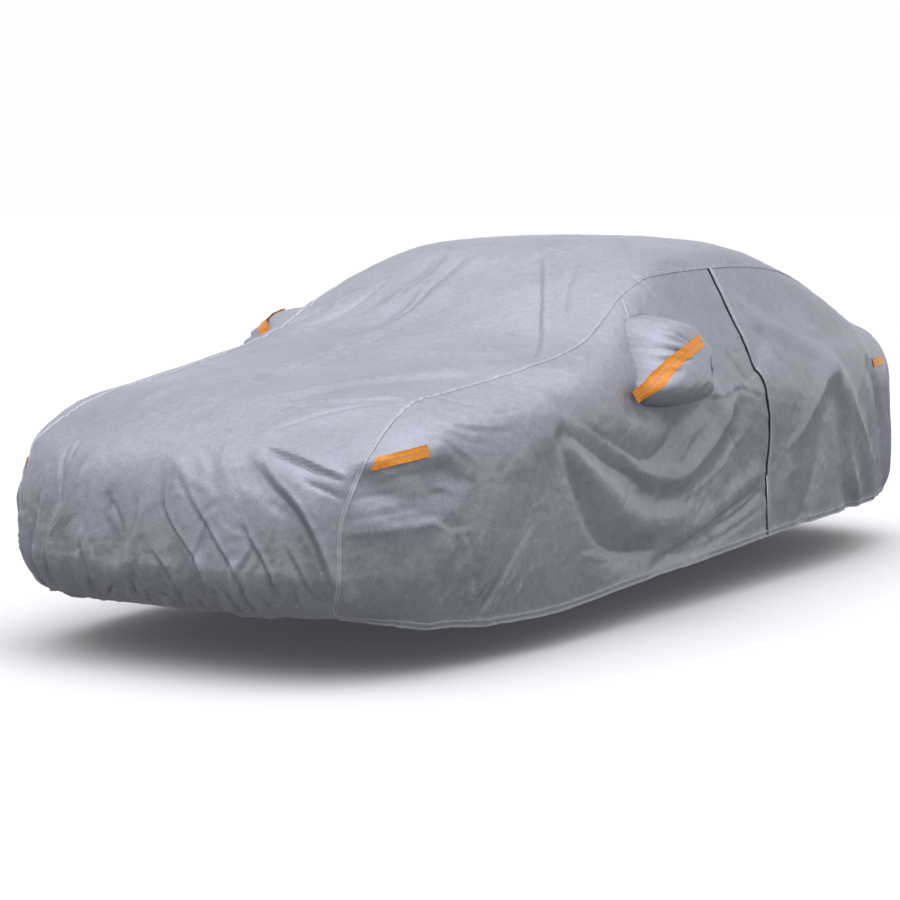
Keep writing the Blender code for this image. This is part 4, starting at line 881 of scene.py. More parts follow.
def inside_outline(flat, outline):
    """True for points (x, height) within a closed outline."""
    a = outline
    b = np.roll(outline, -1, axis=0)
    x = flat[:, None, 0]
    z = flat[:, None, 1]
    spans = (a[None, :, 1] > z) != (b[None, :, 1] > z)
    run = np.where(np.abs(b[:, 1] - a[:, 1]) < 1e-12, 1e-12, b[:, 1] - a[:, 1])
    cross = a[None, :, 0] + (z - a[None, :, 1]) * ((b[:, 0] - a[:, 0]) / run)[None]
    return (spans & (x < cross)).sum(1) % 2 == 1


def open_hole(plain, faces, outline):
    """Drop the faces within an outline and pull the edge of the hole on to it."""
    centre = plain[faces].mean(1)
    gone = inside_outline(centre[:, [0, 2]], outline)
    kept = faces[~gone]
    edge = np.intersect1d(kept, faces[gone])
    dense = np.concatenate([outline, outline[:1]])
    dense = np.stack([np.interp(np.linspace(0, len(outline), 1500), np.arange(len(dense)), dense[:, k])
                      for k in range(2)], axis=1)
    gap = np.linalg.norm(plain[edge][:, None, [0, 2]] - dense[None], axis=-1)
    moved = plain[edge].copy()
    moved[:, [0, 2]] = dense[gap.argmin(1)]
    way = np.zeros(moved.shape)
    way[:, 1] = np.sign(moved[:, 1])
    plain[edge] = settle(moved, way)
    return kept, plain


# ---------------------------------------------------------------- pocket
POCKET_OUTLINE = [
    # x, height
    (0.560, 1.112),
    (0.620, 1.045),
    (0.690, 0.950),
    (0.735, 0.870),
    (0.700, 0.838),
    (0.610, 0.822),
    (0.480, 0.815),
    (0.350, 0.822),
    (0.262, 0.852),
    (0.212, 0.910),
    (0.192, 0.985),
    (0.206, 1.060),
    (0.254, 1.118),
    (0.345, 1.150),
    (0.440, 1.154),
    (0.515, 1.140),
]
POCKET_POINTS = 180
POCKET_RINGS = 34
POCKET_TOP = (0.350, 1.000)
POCKET_BULGE = 0.151
POCKET_FLAT = 4.2
POCKET_FULL = 5.0        # how much fuller it is towards its upper front
POCKET_FULL_WAY = 1.1
POCKET_SIDE = 0.60
POCKET_RING_POWER = 1.5
POCKET_ROUNDS = 4
POCKET_FOLDS = [
    # half width, depth, start angle, end angle, inner share, outer share
    (0.16, 0.007, 0.10, 0.35, 0.30, 1.00),
    (0.16, 0.006, -0.35, -0.20, 0.35, 1.00),
    (0.14, -0.006, 2.70, 2.45, 0.55, 1.00),
    (0.14, -0.006, -1.05, -0.80, 0.50, 1.00),
    (0.12, 0.005, -1.90, -1.70, 0.45, 1.00),
    # its low rear corner is drawn in
    (0.70, -0.044, -2.20, -2.40, 0.12, 1.00),
    (0.10, 0.006, -2.75, -2.60, 0.30, 1.00),
    # the small gathers at the front seam
    (0.045, -0.009, 0.60, 0.66, 0.35, 1.02),
    (0.045, -0.009, 0.36, 0.42, 0.45, 1.02),
    (0.035, 0.005, 0.24, 0.28, 0.60, 1.02),
    (0.040, -0.011, 0.12, 0.16, 0.35, 1.02),
    (0.035, 0.005, 0.03, 0.07, 0.60, 1.02),
    (0.045, -0.010, -0.06, -0.02, 0.35, 1.02),
    (0.035, 0.003, -0.13, -0.09, 0.60, 1.02),
    (0.040, -0.005, -0.21, -0.17, 0.60, 1.02),
    (0.080, -0.006, 1.62, 1.56, 0.70, 1.02),
    (0.110, 0.005, 1.20, 1.10, 0.60, 1.02),
    (0.090, -0.004, 0.78, 0.70, 0.55, 1.02),
    (0.100, -0.005, -2.45, -2.30, 0.50, 1.02),
    (0.090, 0.004, 3.05, 2.95, 0.55, 1.02),
]


def pocket_outline(count):
    """Even points round the outline: [point, (x, height)]."""
    closed = POCKET_OUTLINE[-3:] + POCKET_OUTLINE + POCKET_OUTLINE[:3]
    dense = smooth_path(closed, POINTS_PER_ROW * len(closed))
    start = np.linalg.norm(dense - np.array(POCKET_OUTLINE[0]), axis=1)
    half = len(dense) // 2
    loop = dense[int(start[:half].argmin()):half + int(start[half:].argmin()) + 1]
    place = run_of(loop)
    where = np.linspace(0.0, place[-1], count + 1)[:-1]
    return np.stack([np.interp(where, place, loop[:, k]) for k in range(2)], axis=1)


def side_plain(flat, hand):
    """Plain points of a side whose folded skin lies at the given (x, height)."""
    p = np.zeros((len(flat), 3))
    p[:, 0] = flat[:, 0]
    p[:, 1] = hand * FACES["left"][3]
    p[:, 2] = flat[:, 1]
    way = np.zeros(p.shape)
    way[:, 1] = hand
    start = p.copy()
    for _ in range(POCKET_ROUNDS):
        plain = settle(start, way, LAY_ROUNDS)
        normal = outward(plain)
        outer = plain + normal * fold_height(plain, normal, folds)[:, None]
        start = plain + (p - outer) * np.array([1.0, 0.0, 1.0])
    return plain


def pocket_bulge(share, angle):
    """Outward reach of the pocket over its rings."""
    flat = POCKET_FLAT + POCKET_FULL * np.clip(np.cos(angle - POCKET_FULL_WAY), 0, 1) ** 2
    reach = POCKET_BULGE * (1 - np.minimum(share, 1) ** flat) ** POCKET_SIDE
    for width, depth, start, end, inner, outer in POCKET_FOLDS:
        middle = start + (end - start) * share
        turn = (angle - middle + math.pi) % (2 * math.pi) - math.pi
        along = np.clip((share - inner) / (outer - inner), 0, 1)
        reach = reach + depth * np.exp(-(turn / width) ** 2) * np.sin(math.pi * along)
    return reach


def pocket(name, hand, rim, mat, **facts):
    """Bulging cup sewn into the hole of the side panel."""
    middle = side_plain(np.array([POCKET_TOP]), hand)[0]
    shares = 1 - np.linspace(0.0, 0.985, POCKET_RINGS) ** POCKET_RING_POWER
    way = np.array([0.0, float(hand), 0.0])
    rings = []
    for share in shares:
        flat = middle + (rim - middle) * share
        plain = settle(flat, np.broadcast_to(way, flat.shape))
        height, normal = cloth_height(plain)
        angle = np.arctan2(flat[:, 2] - middle[2], flat[:, 0] - middle[0])
        ring = plain + normal * (height * share ** 4)[:, None]
        ring[:, 1] += hand * pocket_bulge(share, angle)
        rings.append(ring)
    n = len(rim)
    outer = np.concatenate(rings)
    relief = crumple(outer * 1.3, np.zeros(outer.shape))
    calm = np.repeat(np.clip((1 - shares) * 6, 0, 1), n)
    outer[:, 1] += hand * relief * calm
    k = np.arange(n)
    faces = [np.stack([r * n + k, r * n + (k + 1) % n, (r + 1) * n + (k + 1) % n, (r + 1) * n + k], axis=1)
             for r in range(POCKET_RINGS - 1)]
    last = (POCKET_RINGS - 1) * n
    half = np.arange(n // 2 - 1)
    faces.append(np.stack([last + half, last + half + 1, last + n - 2 - half, last + n - 1 - half], axis=1))
    faces = np.concatenate(faces)
    away = np.broadcast_to(way, outer.shape)
    points, every, _ = closed_sheet(outer, faces, CLOTH, away)
    cut = np.stack([points[:, 0], points[:, 2]], axis=1)
    item = add_mesh(name, points, every, mat, cut)
    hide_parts(name)
    carriers[name] = BVHTree.FromPolygons(outer.tolist(), faces.tolist())
    return item


# ---------------------------------------------------------------- seams, stitches, strips
WELT_ROUND = [
    # share of the half width, share of the height
    (-1.00, -0.40),
    (-0.94, 0.50),
    (-0.74, 0.95),
    (-0.46, 0.90),
    (-0.20, 0.30),
    (0.00, 0.15),
    (0.20, 0.30),
    (0.46, 0.90),
    (0.74, 0.95),
    (0.94, 0.50),
    (1.00, -0.40),
]
WELT_PITCH = 0.0075


def frame_along(line, normal, closed=False):
    """Unit directions along and across a line that lies on cloth with given normals."""
    if closed:
        forward = np.roll(line, -1, axis=0) - np.roll(line, 1, axis=0)
    else:
        forward = np.gradient(line, axis=0)
    forward = unit(forward)
    across = unit(np.cross(normal, forward))
    return forward, across


def on_skin(curve, pitch=WELT_PITCH):
    """Even points of a plain curve lifted on to the folded cloth, and its normals there."""
    plain = settle(cut_even(curve, int(run_of(curve)[-1] / pitch)))
    height, normal = cloth_height(plain)
    return plain + normal * height[:, None] + drawn_under(plain), normal


def welt(name, line, normal, width, height, mat, closed=False, seed=0):
    """A felled seam: a flat raised band with a stitched groove near each edge."""
    forward, across = frame_along(line, normal, closed)
    along = run_of(line)
    sway = np.array([noise.noise(Vector((s * 9, seed, 7.5))) for s in along]) * 0.0012
    swell = 1 + 0.35 * np.array([noise.noise(Vector((s * 38, seed, 1.5))) for s in along])
    section = np.array(WELT_ROUND)
    points = (
        line[:, None]
        + across[:, None] * (section[None, :, :1] * width / 2 + sway[:, None, None])
        + normal[:, None] * (section[None, :, 1:] * height * swell[:, None, None])
    )
    under = points[:, [-1, 0]] - normal[:, None] * 0.0010
    ring = np.concatenate([points, under], axis=1)
    rows, cols = ring.shape[:2]
    faces = []
    span = rows if closed else rows - 1
    for i in range(span):
        a = i * cols
        b = (i + 1) % rows * cols
        for j in range(cols):
            k = (j + 1) % cols
            faces.append((a + j, b + j, b + k, a + k))
    if not closed:
        faces.append(tuple(range(cols)))
        faces.append(tuple((rows - 1) * cols + j for j in reversed(range(cols))))
    girth = np.linspace(-0.5, 0.5, cols) * width
    cut = np.stack(np.broadcast_arrays(girth[None, :], along[:, None]), axis=-1).reshape(-1, 2)
    item = add_mesh(name, ring.reshape(-1, 3), faces, mat, cut)
    return item


STITCH_PITCH = 0.0075    # real ones are 4 mm; drawn longer so that they show
STITCH_LENGTH = 0.0056
THREAD = 0.0011


def stitch_rows(name, rows, mat):
    """All stitches of some rows as one mesh: each is a short bent thread."""
    points = []
    faces = []
    for line, normal, offset, lift, closed in rows:
        forward, across = frame_along(line, normal, closed)
        line = line + across * offset + normal * lift
        place = run_of(line)
        where = np.arange(STITCH_PITCH / 2, place[-1] - STITCH_PITCH / 2, STITCH_PITCH)

        def at(values, s):
            return np.stack([np.interp(s, place, values[:, k]) for k in range(3)], axis=1)

        rings = []
        for share, rise in ((-0.5, -0.6), (0.0, 0.65), (0.5, -0.6)):
            s = where + share * STITCH_LENGTH
            base = at(line, s) + at(normal, s) * rise * THREAD
            side = at(across, s) * THREAD / 2
            up = at(normal, s) * THREAD / 2
            rings.append(np.stack([base - side, base + up, base + side, base - up], axis=1))
        body = np.stack(rings, axis=1)
        start = sum(len(p) for p in points)
        count = len(where)
        points.append(body.reshape(-1, 3))
        first = start + 12 * np.arange(count)[:, None]
        quads = []
        for r in range(2):
            for k in range(4):
                j = (k + 1) % 4
                quads.append([4 * r + k, 4 * r + j, 4 * r + 4 + j, 4 * r + 4 + k])
        quads.append([3, 2, 1, 0])
        quads.append([8, 9, 10, 11])
        for quad in quads:
            faces.append(first + np.array(quad)[None])
    return add_mesh(name, np.concatenate(points), np.concatenate(faces).tolist(), mat)


STRIP_LIFT = 0.0006
STRIP_THICK = 0.0010
STRIP_PITCH = 0.006
STRIP_ROWS = 8
STRIP_VIEW = 0.25
STRIP_START = 0.9
STRIP_FACING = 0.6
STRIP_NUDGES = (0.0, 0.006, 0.012, -0.006, -0.012, 0.020)
STRIP_SMOOTH = 24        # rounds that stiffen the tape over small folds
STRIP_STRAIGHT = 60      # rounds that straighten its middle line
STRIPS = [
    # side, place, panel it lies on, width, how far its front end slants, path of (x, height)
    ("left", "front", "front", 0.042, 0.030, [(2.222, 0.730), (2.120, 0.750), (2.045, 0.763)]),
    ("left", "pocket", "pocket", 0.048, 0.0, [(0.750, 0.868), (0.711, 0.905), (0.684, 0.931), (0.651, 0.956),
                                              (0.608, 0.981), (0.553, 1.005), (0.478, 1.028), (0.381, 1.050),
                                              (0.325, 1.061)]),
    ("left", "rear", "rear", 0.040, 0.0, [(-1.690, 0.866), (-1.790, 0.869), (-1.890, 0.872)]),
    ("right", "front", "front", 0.042, 0.0, [(2.305, 0.652), (2.235, 0.664), (2.150, 0.676)]),
    ("right", "pocket", "pocket", 0.048, 0.0, [(0.660, 1.030), (0.596, 1.069), (0.553, 1.091), (0.460, 1.114),
                                               (0.370, 1.124)]),
    ("right", "rear", "rear", 0.040, 0.0, [(-1.745, 0.866), (-1.850, 0.869), (-1.960, 0.872)]),
]


def cloth_below(trees, place, up, view):
    """Point of the cloth under a place, looking in along the outward direction."""
    best = None
    for tree in trees:
        hit = tree.ray_cast(Vector(place + up * view), Vector(-up), 2 * view)
        if hit[0] is not None and (best is None or hit[3] < best[3]):
            best = hit
    return None if best is None else np.array(best[0])


def strip(name, hand, trees, width, slant, path, mat, thread):
    """Tape sewn on the cloth along a path of (x, height)."""
    sideways = np.array([0.0, float(hand), 0.0])
    length = run_of(np.array(path))[-1]
    cells = int(length / STRIP_PITCH)
    drawn = smooth_path(path, cells + 1)
    line = []
    for flat in drawn:
        # a look that slips through the seam of the pocket is taken again a little higher
        for nudge in STRIP_NUDGES:
            place = np.array([flat[0], hand * STRIP_START, flat[1] + nudge])
            found = cloth_below(trees, place, sideways, 2 * STRIP_VIEW)
            if found is not None:
                break
        line.append(found)
    line = np.array(line)
    for _ in range(STRIP_STRAIGHT):
        line[1:-1] = (line[:-2] + line[1:-1] + line[2:]) / 3
    forward = unit(np.gradient(line, axis=0))
    facing = outward(line) + sideways * STRIP_FACING
    across = unit(np.cross(facing, forward))
    across *= np.sign(across[:, 2:])
    facing = unit(np.cross(forward, across))
    facing *= np.sign(facing[:, 1:2] * hand)
    laid = np.zeros((STRIP_ROWS + 1, cells + 1, 3))
    for i in range(STRIP_ROWS + 1):
        share = i / STRIP_ROWS - 0.5
        for j in range(cells + 1):
            move = -slant * share * (1 - j / cells) ** 2
            place = line[j] + across[j] * width * share - forward[j] * move * (1 if j < cells else 0)
            found = cloth_below(trees, place, facing[j], STRIP_VIEW)
            laid[i, j] = place if found is None else found
    up = np.broadcast_to(facing, laid.shape)
    depth = (laid * up).sum(-1)
    stiff = depth.copy()
    for _ in range(STRIP_SMOOTH):
        padded = np.pad(stiff, 1, mode="edge")
        mean = (padded[:-2, 1:-1] + padded[2:, 1:-1] + padded[1:-1, :-2] + padded[1:-1, 2:]) / 4
        stiff = np.maximum(mean, depth)
    laid = laid + up * (stiff - depth)[..., None]
    rows, cols = laid.shape[:2]
    lift = np.full((rows, cols), STRIP_LIFT + STRIP_THICK)
    outer = (laid + up * lift[..., None]).reshape(-1, 3)
    faces = grid_faces(rows, cols)
    points, every, normal = closed_sheet(outer, faces, STRIP_THICK + 0.8 * STRIP_LIFT, up.reshape(-1, 3))
    cut = grid_cut(laid)
    cut[:, 1] -= cut[:, 1].max() / 2
    item = add_mesh(name, points, every, mat, np.concatenate([cut, cut]))
    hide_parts(name)
    grid = outer.reshape(rows, cols, 3)
    normal = normal.reshape(rows, cols, 3)
    loop = np.concatenate([grid[0], grid[1:, -1], grid[-1, -2::-1], grid[-2:0:-1, 0]])
    turned = np.concatenate([normal[0], normal[1:, -1], normal[-1, -2::-1], normal[-2:0:-1, 0]])
    inward = unit(grid.mean((0, 1)) - loop)
    edge = loop + inward * 0.004
    stitch_rows(name + "_stitches", [(edge, turned, 0.0, 0.0003, True)], thread)
    return item


# ---------------------------------------------------------------- materials
def linear(hex_colour):
    """sRGB hex to linear RGBA."""
    channels = [int(hex_colour[i:i + 2], 16) / 255 for i in (0, 2, 4)]
    return (*[c / 12.92 if c <= 0.04045 else ((c + 0.055) / 1.055) ** 2.4 for c in channels], 1.0)


def node(tree, kind, settings=(), **links):
    """Add a node; links name its inputs and take a value or another node's output."""
    made = tree.nodes.new(kind)
    for key, value in dict(settings).items():
        setattr(made, key, value)
    for key, value in links.items():
        numbered = key[0] == "i" and key[1:].isdigit()
        spot = made.inputs[int(key[1:]) if numbered else key.replace("_", " ")]
        if isinstance(value, bpy.types.NodeSocket):
            tree.links.new(value, spot)
        else:
            spot.default_value = value
    return made


def ramp(tree, factor, stops):
    made = node(tree, "ShaderNodeValToRGB", i0=factor)
    made.color_ramp.elements[0].position = stops[0][0]
    made.color_ramp.elements[0].color = stops[0][1]
    made.color_ramp.elements[1].position = stops[-1][0]
    made.color_ramp.elements[1].color = stops[-1][1]
    for place, colour in stops[1:-1]:
        made.color_ramp.elements.new(place).color = colour
    return made.outputs[0]


def shader_of(name, **values):
    mat = bpy.data.materials.new(name)
    mat.use_nodes = True
    shader = mat.node_tree.nodes["Principled BSDF"]
    for key, value in values.items():
        shader.inputs[key.replace("_", " ")].default_value = value
    return mat, mat.node_tree, shader


def streaks(tree, place, turn, size):
    """Long ridged wrinkles: noise drawn out along the axis with the small size."""
    bent = node(tree, "ShaderNodeTexNoise", Vector=place, Scale=4.0, Detail=1.0).outputs["Color"]
    warped = node(tree, "ShaderNodeMix", {"data_type": "VECTOR"}, i0=0.12, i4=place, i5=bent).outputs[1]
    laid = node(tree, "ShaderNodeMapping", Vector=warped, Rotation=turn, Scale=size).outputs[0]
    return node(tree, "ShaderNodeTexNoise", {"noise_type": "RIDGED_MULTIFRACTAL"}, Vector=laid, Scale=1.0,
                Detail=2.0, Roughness=0.45).outputs["Fac"]


def times(tree, first, second):
    return node(tree, "ShaderNodeMath", {"operation": "MULTIPLY"}, i0=first, i1=second).outputs[0]


def between(tree, value, start, end, low=0.0, high=1.0):
    """Value mapped from one range to another, with soft ends."""
    return node(tree, "ShaderNodeMapRange", {"interpolation_type": "SMOOTHSTEP"}, Value=value,
                i1=start, i2=end, i3=low, i4=high).outputs[0]


def noise_of(tree, place, scale, detail, rough, out="Fac"):
    return node(tree, "ShaderNodeTexNoise", Vector=place, Scale=scale, Detail=detail,
                Roughness=rough).outputs[out]


def bump(tree, height, depth, strength=1.0, before=None):
    made = node(tree, "ShaderNodeBump", Strength=strength, Distance=depth, Height=height)
    if before is not None:
        tree.links.new(before, made.inputs["Normal"])
    return made.outputs["Normal"]


def coated_polyester(name, colour, deep, high):
    """Woven polyester with a thin silver-grey coating, calendered smooth.

    The fine aluminium in the coating makes it mirror the light sky and the
    dark ground softly, so each small wrinkle shows as a light and a dark line;
    the yarns show as a fine grain.
    """
    mat, tree, shader = shader_of(name, Roughness=0.40, IOR=1.5, Metallic=0.28)
    place = node(tree, "ShaderNodeTexCoord").outputs["Object"]
    cut = node(tree, "ShaderNodeUVMap", {"uv_map": "cut"}).outputs["UV"]
    height = node(tree, "ShaderNodeSeparateXYZ", Vector=place).outputs[2]
    broad = noise_of(tree, place, 2.2, 3.0, 0.5)
    small = noise_of(tree, place, 34.0, 4.0, 0.6)
    grit = noise_of(tree, place, 230.0, 3.0, 0.7)
    tone = node(tree, "ShaderNodeMix", {"data_type": "FLOAT"}, i0=0.45, i2=broad, i3=small).outputs[0]
    tone = node(tree, "ShaderNodeMix", {"data_type": "FLOAT"}, i0=0.58, i2=tone, i3=grit).outputs[0]
    base = ramp(tree, tone, [(0.38, linear(deep)), (0.50, linear(colour)), (0.62, linear(high))])
    # yarns 0.25 mm apart are too fine to show, so they are drawn 1.6 mm apart
    weave_across = node(tree, "ShaderNodeTexWave", {"bands_direction": "X"}, Vector=cut, Scale=98.0,
                        Distortion=0.6, Detail=1.0).outputs["Fac"]
    weave_along = node(tree, "ShaderNodeTexWave", {"bands_direction": "Y"}, Vector=cut, Scale=98.0,
                       Distortion=0.6, Detail=1.0).outputs["Fac"]
    weave = times(tree, weave_across, weave_along)
    grain = node(tree, "ShaderNodeMix", {"data_type": "RGBA", "blend_type": "MULTIPLY"}, i0=0.10, i6=base,
                 i7=ramp(tree, weave, [(0.0, (0.55, 0.55, 0.55, 1)), (1.0, (1, 1, 1, 1))])).outputs[2]
    tree.links.new(grain, shader.inputs["Base Color"])
    # crinkles 25 to 60 mm long, left by folding
    bent = noise_of(tree, place, 9.0, 2.0, 0.5, "Color")
    warped = node(tree, "ShaderNodeMix", {"data_type": "VECTOR"}, i0=0.10, i4=place, i5=bent).outputs[1]
    crinkle = node(tree, "ShaderNodeTexNoise", {"noise_type": "RIDGED_MULTIFRACTAL"}, Vector=warped,
                   Scale=17.0, Detail=4.0, Roughness=0.55).outputs["Fac"]
    fine = noise_of(tree, place, 62.0, 3.0, 0.6)
    # wrinkles that hang down where the cloth is slack, and slanting ones above them
    low = between(tree, height, -0.70, -1.15)
    hanging = times(tree, streaks(tree, place, (0, 0, 0), (19.0, 19.0, 3.2)), low)
    middle = times(tree, between(tree, height, -0.40, -0.62), between(tree, height, -1.25, -0.95))
    slanting = times(tree, streaks(tree, place, (0.0, 0.75, 0.0), (3.5, 9.0, 20.0)), middle)
    normal = bump(tree, crinkle, 0.0028, 0.8)
    normal = bump(tree, hanging, 0.0036, 0.9, normal)
    normal = bump(tree, slanting, 0.0018, 0.7, normal)
    normal = bump(tree, fine, 0.0016, 0.5, normal)
    normal = bump(tree, weave, 0.0004, 0.12, normal)
    tree.links.new(normal, shader.inputs["Normal"])
    rough = node(tree, "ShaderNodeMapRange", Value=small, i1=0.3, i2=0.7, i3=0.34, i4=0.47).outputs[0]
    tree.links.new(rough, shader.inputs["Roughness"])
    return mat


def reflective_tape():
    """Fluorescent orange woven tape with a woven retroreflective stripe.

    The orange yarn is saturated and matt; the stripe of glass beads in its
    middle looks greyish in plain light.
    """
    mat, tree, shader = shader_of("fluorescent_orange_woven_tape", Roughness=0.42, IOR=1.5)
    cut = node(tree, "ShaderNodeUVMap", {"uv_map": "cut"}).outputs["UV"]
    parts = node(tree, "ShaderNodeSeparateXYZ", Vector=cut).outputs
    place = node(tree, "ShaderNodeTexCoord").outputs["Object"]
    mottle = noise_of(tree, place, 90.0, 3.0, 0.6)
    shades = [(0.32, linear("E8830F")), (0.55, linear("F2951C")), (0.75, linear("FBAA38"))]
    orange = ramp(tree, mottle, shades)
    away = node(tree, "ShaderNodeMath", {"operation": "ABSOLUTE"}, i0=parts[1]).outputs[0]
    torn = node(tree, "ShaderNodeMath", {"operation": "MULTIPLY_ADD"}, i0=mottle, i1=0.004,
                i2=away).outputs[0]
    stripe = node(tree, "ShaderNodeMapRange", Value=torn, i1=0.0052, i2=0.0066, i3=0.62, i4=0.0).outputs[0]
    base = node(tree, "ShaderNodeMix", {"data_type": "RGBA"}, i0=stripe, i6=orange,
                i7=linear("B08A68")).outputs[2]
    tree.links.new(base, shader.inputs["Base Color"])
    ribs = node(tree, "ShaderNodeTexWave", {"bands_direction": "X"}, Vector=cut, Scale=130.0, Distortion=0.4,
                Detail=1.0).outputs["Fac"]
    first = node(tree, "ShaderNodeBump", Strength=0.35, Distance=0.0005, Height=ribs).outputs["Normal"]
    second = node(tree, "ShaderNodeBump", Strength=0.30, Distance=0.0015, Height=mottle,
                  Normal=first).outputs["Normal"]
    tree.links.new(second, shader.inputs["Normal"])
    return mat


def polyester_thread(name, colour, high):
    """Twisted polyester sewing thread: a soft sheen with a fine twist."""
    mat, tree, shader = shader_of(name, Roughness=0.5, IOR=1.5, Sheen_Weight=0.1)
    place = node(tree, "ShaderNodeTexCoord").outputs["Object"]
    twist = node(tree, "ShaderNodeTexNoise", Vector=place, Scale=600.0, Detail=2.0).outputs["Fac"]
    shades = [(0.3, linear(colour)), (0.7, linear(high))]
    tree.links.new(ramp(tree, twist, shades), shader.inputs["Base Color"])
    bump = node(tree, "ShaderNodeBump", Strength=0.3, Distance=0.0003, Height=twist).outputs["Normal"]
    tree.links.new(bump, shader.inputs["Normal"])
    return mat


def moulded_nylon():
    """Black nylon coil of the zip, drawn and heat-set: dark with small tight highlights."""
    mat, tree, shader = shader_of("black_nylon_zip_coil", Roughness=0.38, IOR=1.53)
    place = node(tree, "ShaderNodeTexCoord").outputs["Object"]
    dust = node(tree, "ShaderNodeTexNoise", Vector=place, Scale=80.0, Detail=3.0).outputs["Fac"]
    shades = [(0.35, linear("1A1B20")), (0.75, linear("34363E"))]
    tree.links.new(ramp(tree, dust, shades), shader.inputs["Base Color"])
    rough = node(tree, "ShaderNodeMapRange", Value=dust, i1=0.3, i2=0.7, i3=0.34, i4=0.52).outputs[0]
    tree.links.new(rough, shader.inputs["Roughness"])
    return mat


def cotton_tape_black():
    """Woven polyester zip tape, dyed black: matt, with a faint rib across."""
    mat, tree, shader = shader_of("black_woven_zip_tape", Roughness=0.8, IOR=1.5, Sheen_Weight=0.2)
    place = node(tree, "ShaderNodeTexCoord").outputs["Object"]
    lint = node(tree, "ShaderNodeTexNoise", Vector=place, Scale=140.0, Detail=3.0).outputs["Fac"]
    shades = [(0.35, linear("17181C")), (0.7, linear("2B2D34"))]
    tree.links.new(ramp(tree, lint, shades), shader.inputs["Base Color"])
    ribs = node(tree, "ShaderNodeTexWave", {"bands_direction": "Z"}, Vector=place, Scale=160.0,
                Distortion=0.5).outputs["Fac"]
    bump = node(tree, "ShaderNodeBump", Strength=0.3, Distance=0.0004, Height=ribs).outputs["Normal"]
    tree.links.new(bump, shader.inputs["Normal"])
    return mat


# ---------------------------------------------------------------- build
ROOF_CLEAR = 0.004
ROOF_TOP = lay_path("top", [(ROOF_X, 0.0), (ROOF_X, 0.01)], 2)[0]
ORIGIN = ROOF_TOP - np.array([0.0, 0.0, ROOF_CLEAR])

cloth = coated_polyester("silver_grey_coated_polyester", "A0A2AE", "8D8F9A", "B4B6C2")
# The zip flap is the same cloth in a lighter copy: a painted highlight on the raised flap.
flap_cloth_painted_highlight = coated_polyester("silver_grey_coated_polyester_flap_painted_highlight", "B8BAC4", "ABADB7", "C4C6CF")
# The seam welts, darts and hem folds use a lighter copy of the same cloth: a painted highlight along the raised
# seams.
seam_cloth_painted_highlight = coated_polyester("silver_grey_coated_polyester_seam_painted_highlight", "B8BAC4", "ABADB7", "C6C8D1")
thread = polyester_thread("pale_grey_polyester_thread", "BEC0C9", "D6D7DE")
dark_thread = polyester_thread("orange_polyester_thread", "E9A257", "F5C080")
coil = moulded_nylon()
tape = cotton_tape_black()
orange = reflective_tape()

folds = make_folds()
carriers = {}
seam_line = curve_through(SEAM)
hem_line = curve_through(HEM)
zip_line = curve_through(ZIP)

# Indices of the corners on the long seam, and of the zip on seam and hem.
half = len(seam_line) // 2
front_turn = int(np.abs(seam_line[:half, 0] - FRONT_CORNER_X).argmin())
rear_turn = half + int(np.abs(seam_line[half:, 0] - REAR_CORNER_X).argmin())
seam_zip = nearest(seam_line, zip_line[0])
seam_chain = along_curve(seam_line, seam_zip, ZIP_CHAIN_WIDTH)
seam_flap = along_curve(seam_line, seam_zip, ZIP_CHAIN_WIDTH + ZIP_FLAP_WIDTH)
hem_zip = nearest(hem_line, zip_line[-1])
hem_chain = along_curve(hem_line, hem_zip, ZIP_CHAIN_WIDTH)
hem_flap = along_curve(hem_line, hem_zip, ZIP_CHAIN_WIDTH + ZIP_FLAP_WIDTH)

pocket_rim = {hand: side_plain(pocket_outline(POCKET_POINTS), hand) for hand in (1, -1)}


def end_hem(end):
    """Lower edge of the middle panel at the front or the rear."""
    u = np.linspace(0.0, 1.0, 60)[:, None]
    line = (1 - u) * end + u * mirrored(end)
    line[:, 2] -= (4 * u * (1 - u) * END_HEM_DIP)[:, 0]
    way = np.zeros(line.shape)
    way[:, 0] = math.copysign(1.0, end[0])
    return settle(line, way)


front_hem = end_hem(seam_line[0])
rear_hem = end_hem(seam_line[-1])
sewn_lines = []
for turned in (lambda c: c, mirrored):
    line = turned(seam_line)
    sewn_lines += [
        ("corner", line[:front_turn + 40]),
        ("seam", line[front_turn:rear_turn]),
        ("corner", line[rear_turn:]),
        ("elastic", turned(hem_line[(hem_line[:, 0] > 1.45) & (hem_line[:, 0] < 1.80)])),
        ("hem", turned(hem_line)),
        ("elastic", turned(hem_line[hem_line[:, 0] < -1.6])),
    ]
sewn_lines += [("zip", zip_line), ("elastic", front_hem), ("elastic", rear_hem)]
sewn_lines += [("pocket", np.concatenate([rim, rim[:1]])) for rim in pocket_rim.values()]
sewn_lines = [(kind, cut_even(curve, max(2, int(run_of(curve)[-1] / 0.004)))) for kind, curve in sewn_lines]

FRONT_CELLS = 132
TOP_FRONT_CELLS = 296
REAR_CELLS = 104
TOP_REAR_CELLS = 196
RIGHT_CELLS = (76, 180, 76, 132)
CENTRE_ACROSS = 216
CENTRE_PITCHES = [
    # distance along the seam, pitch
    (0.00, 0.0068),
    (0.80, 0.0076),
    (1.00, 0.0140),
    (2.75, 0.0150),
    (2.95, 0.0300),
    (4.60, 0.0320),
    (4.80, 0.0220),
    (5.95, 0.0180),
]
# The long middle panel is shown as three meshes: name, start and end along it, and
# the size and area of its cloth, measured over the folds of the finished mesh.
CENTRE_PARTS = [
    ("centre_panel_front", 0.0, 0.95, (1.65, 1.04), 1.46),
    ("centre_panel_middle", 0.95, 2.75, (1.46, 1.82), 2.51),
    ("centre_panel_rear", 2.75, 9.0, (1.47, 3.57), 4.94),
]


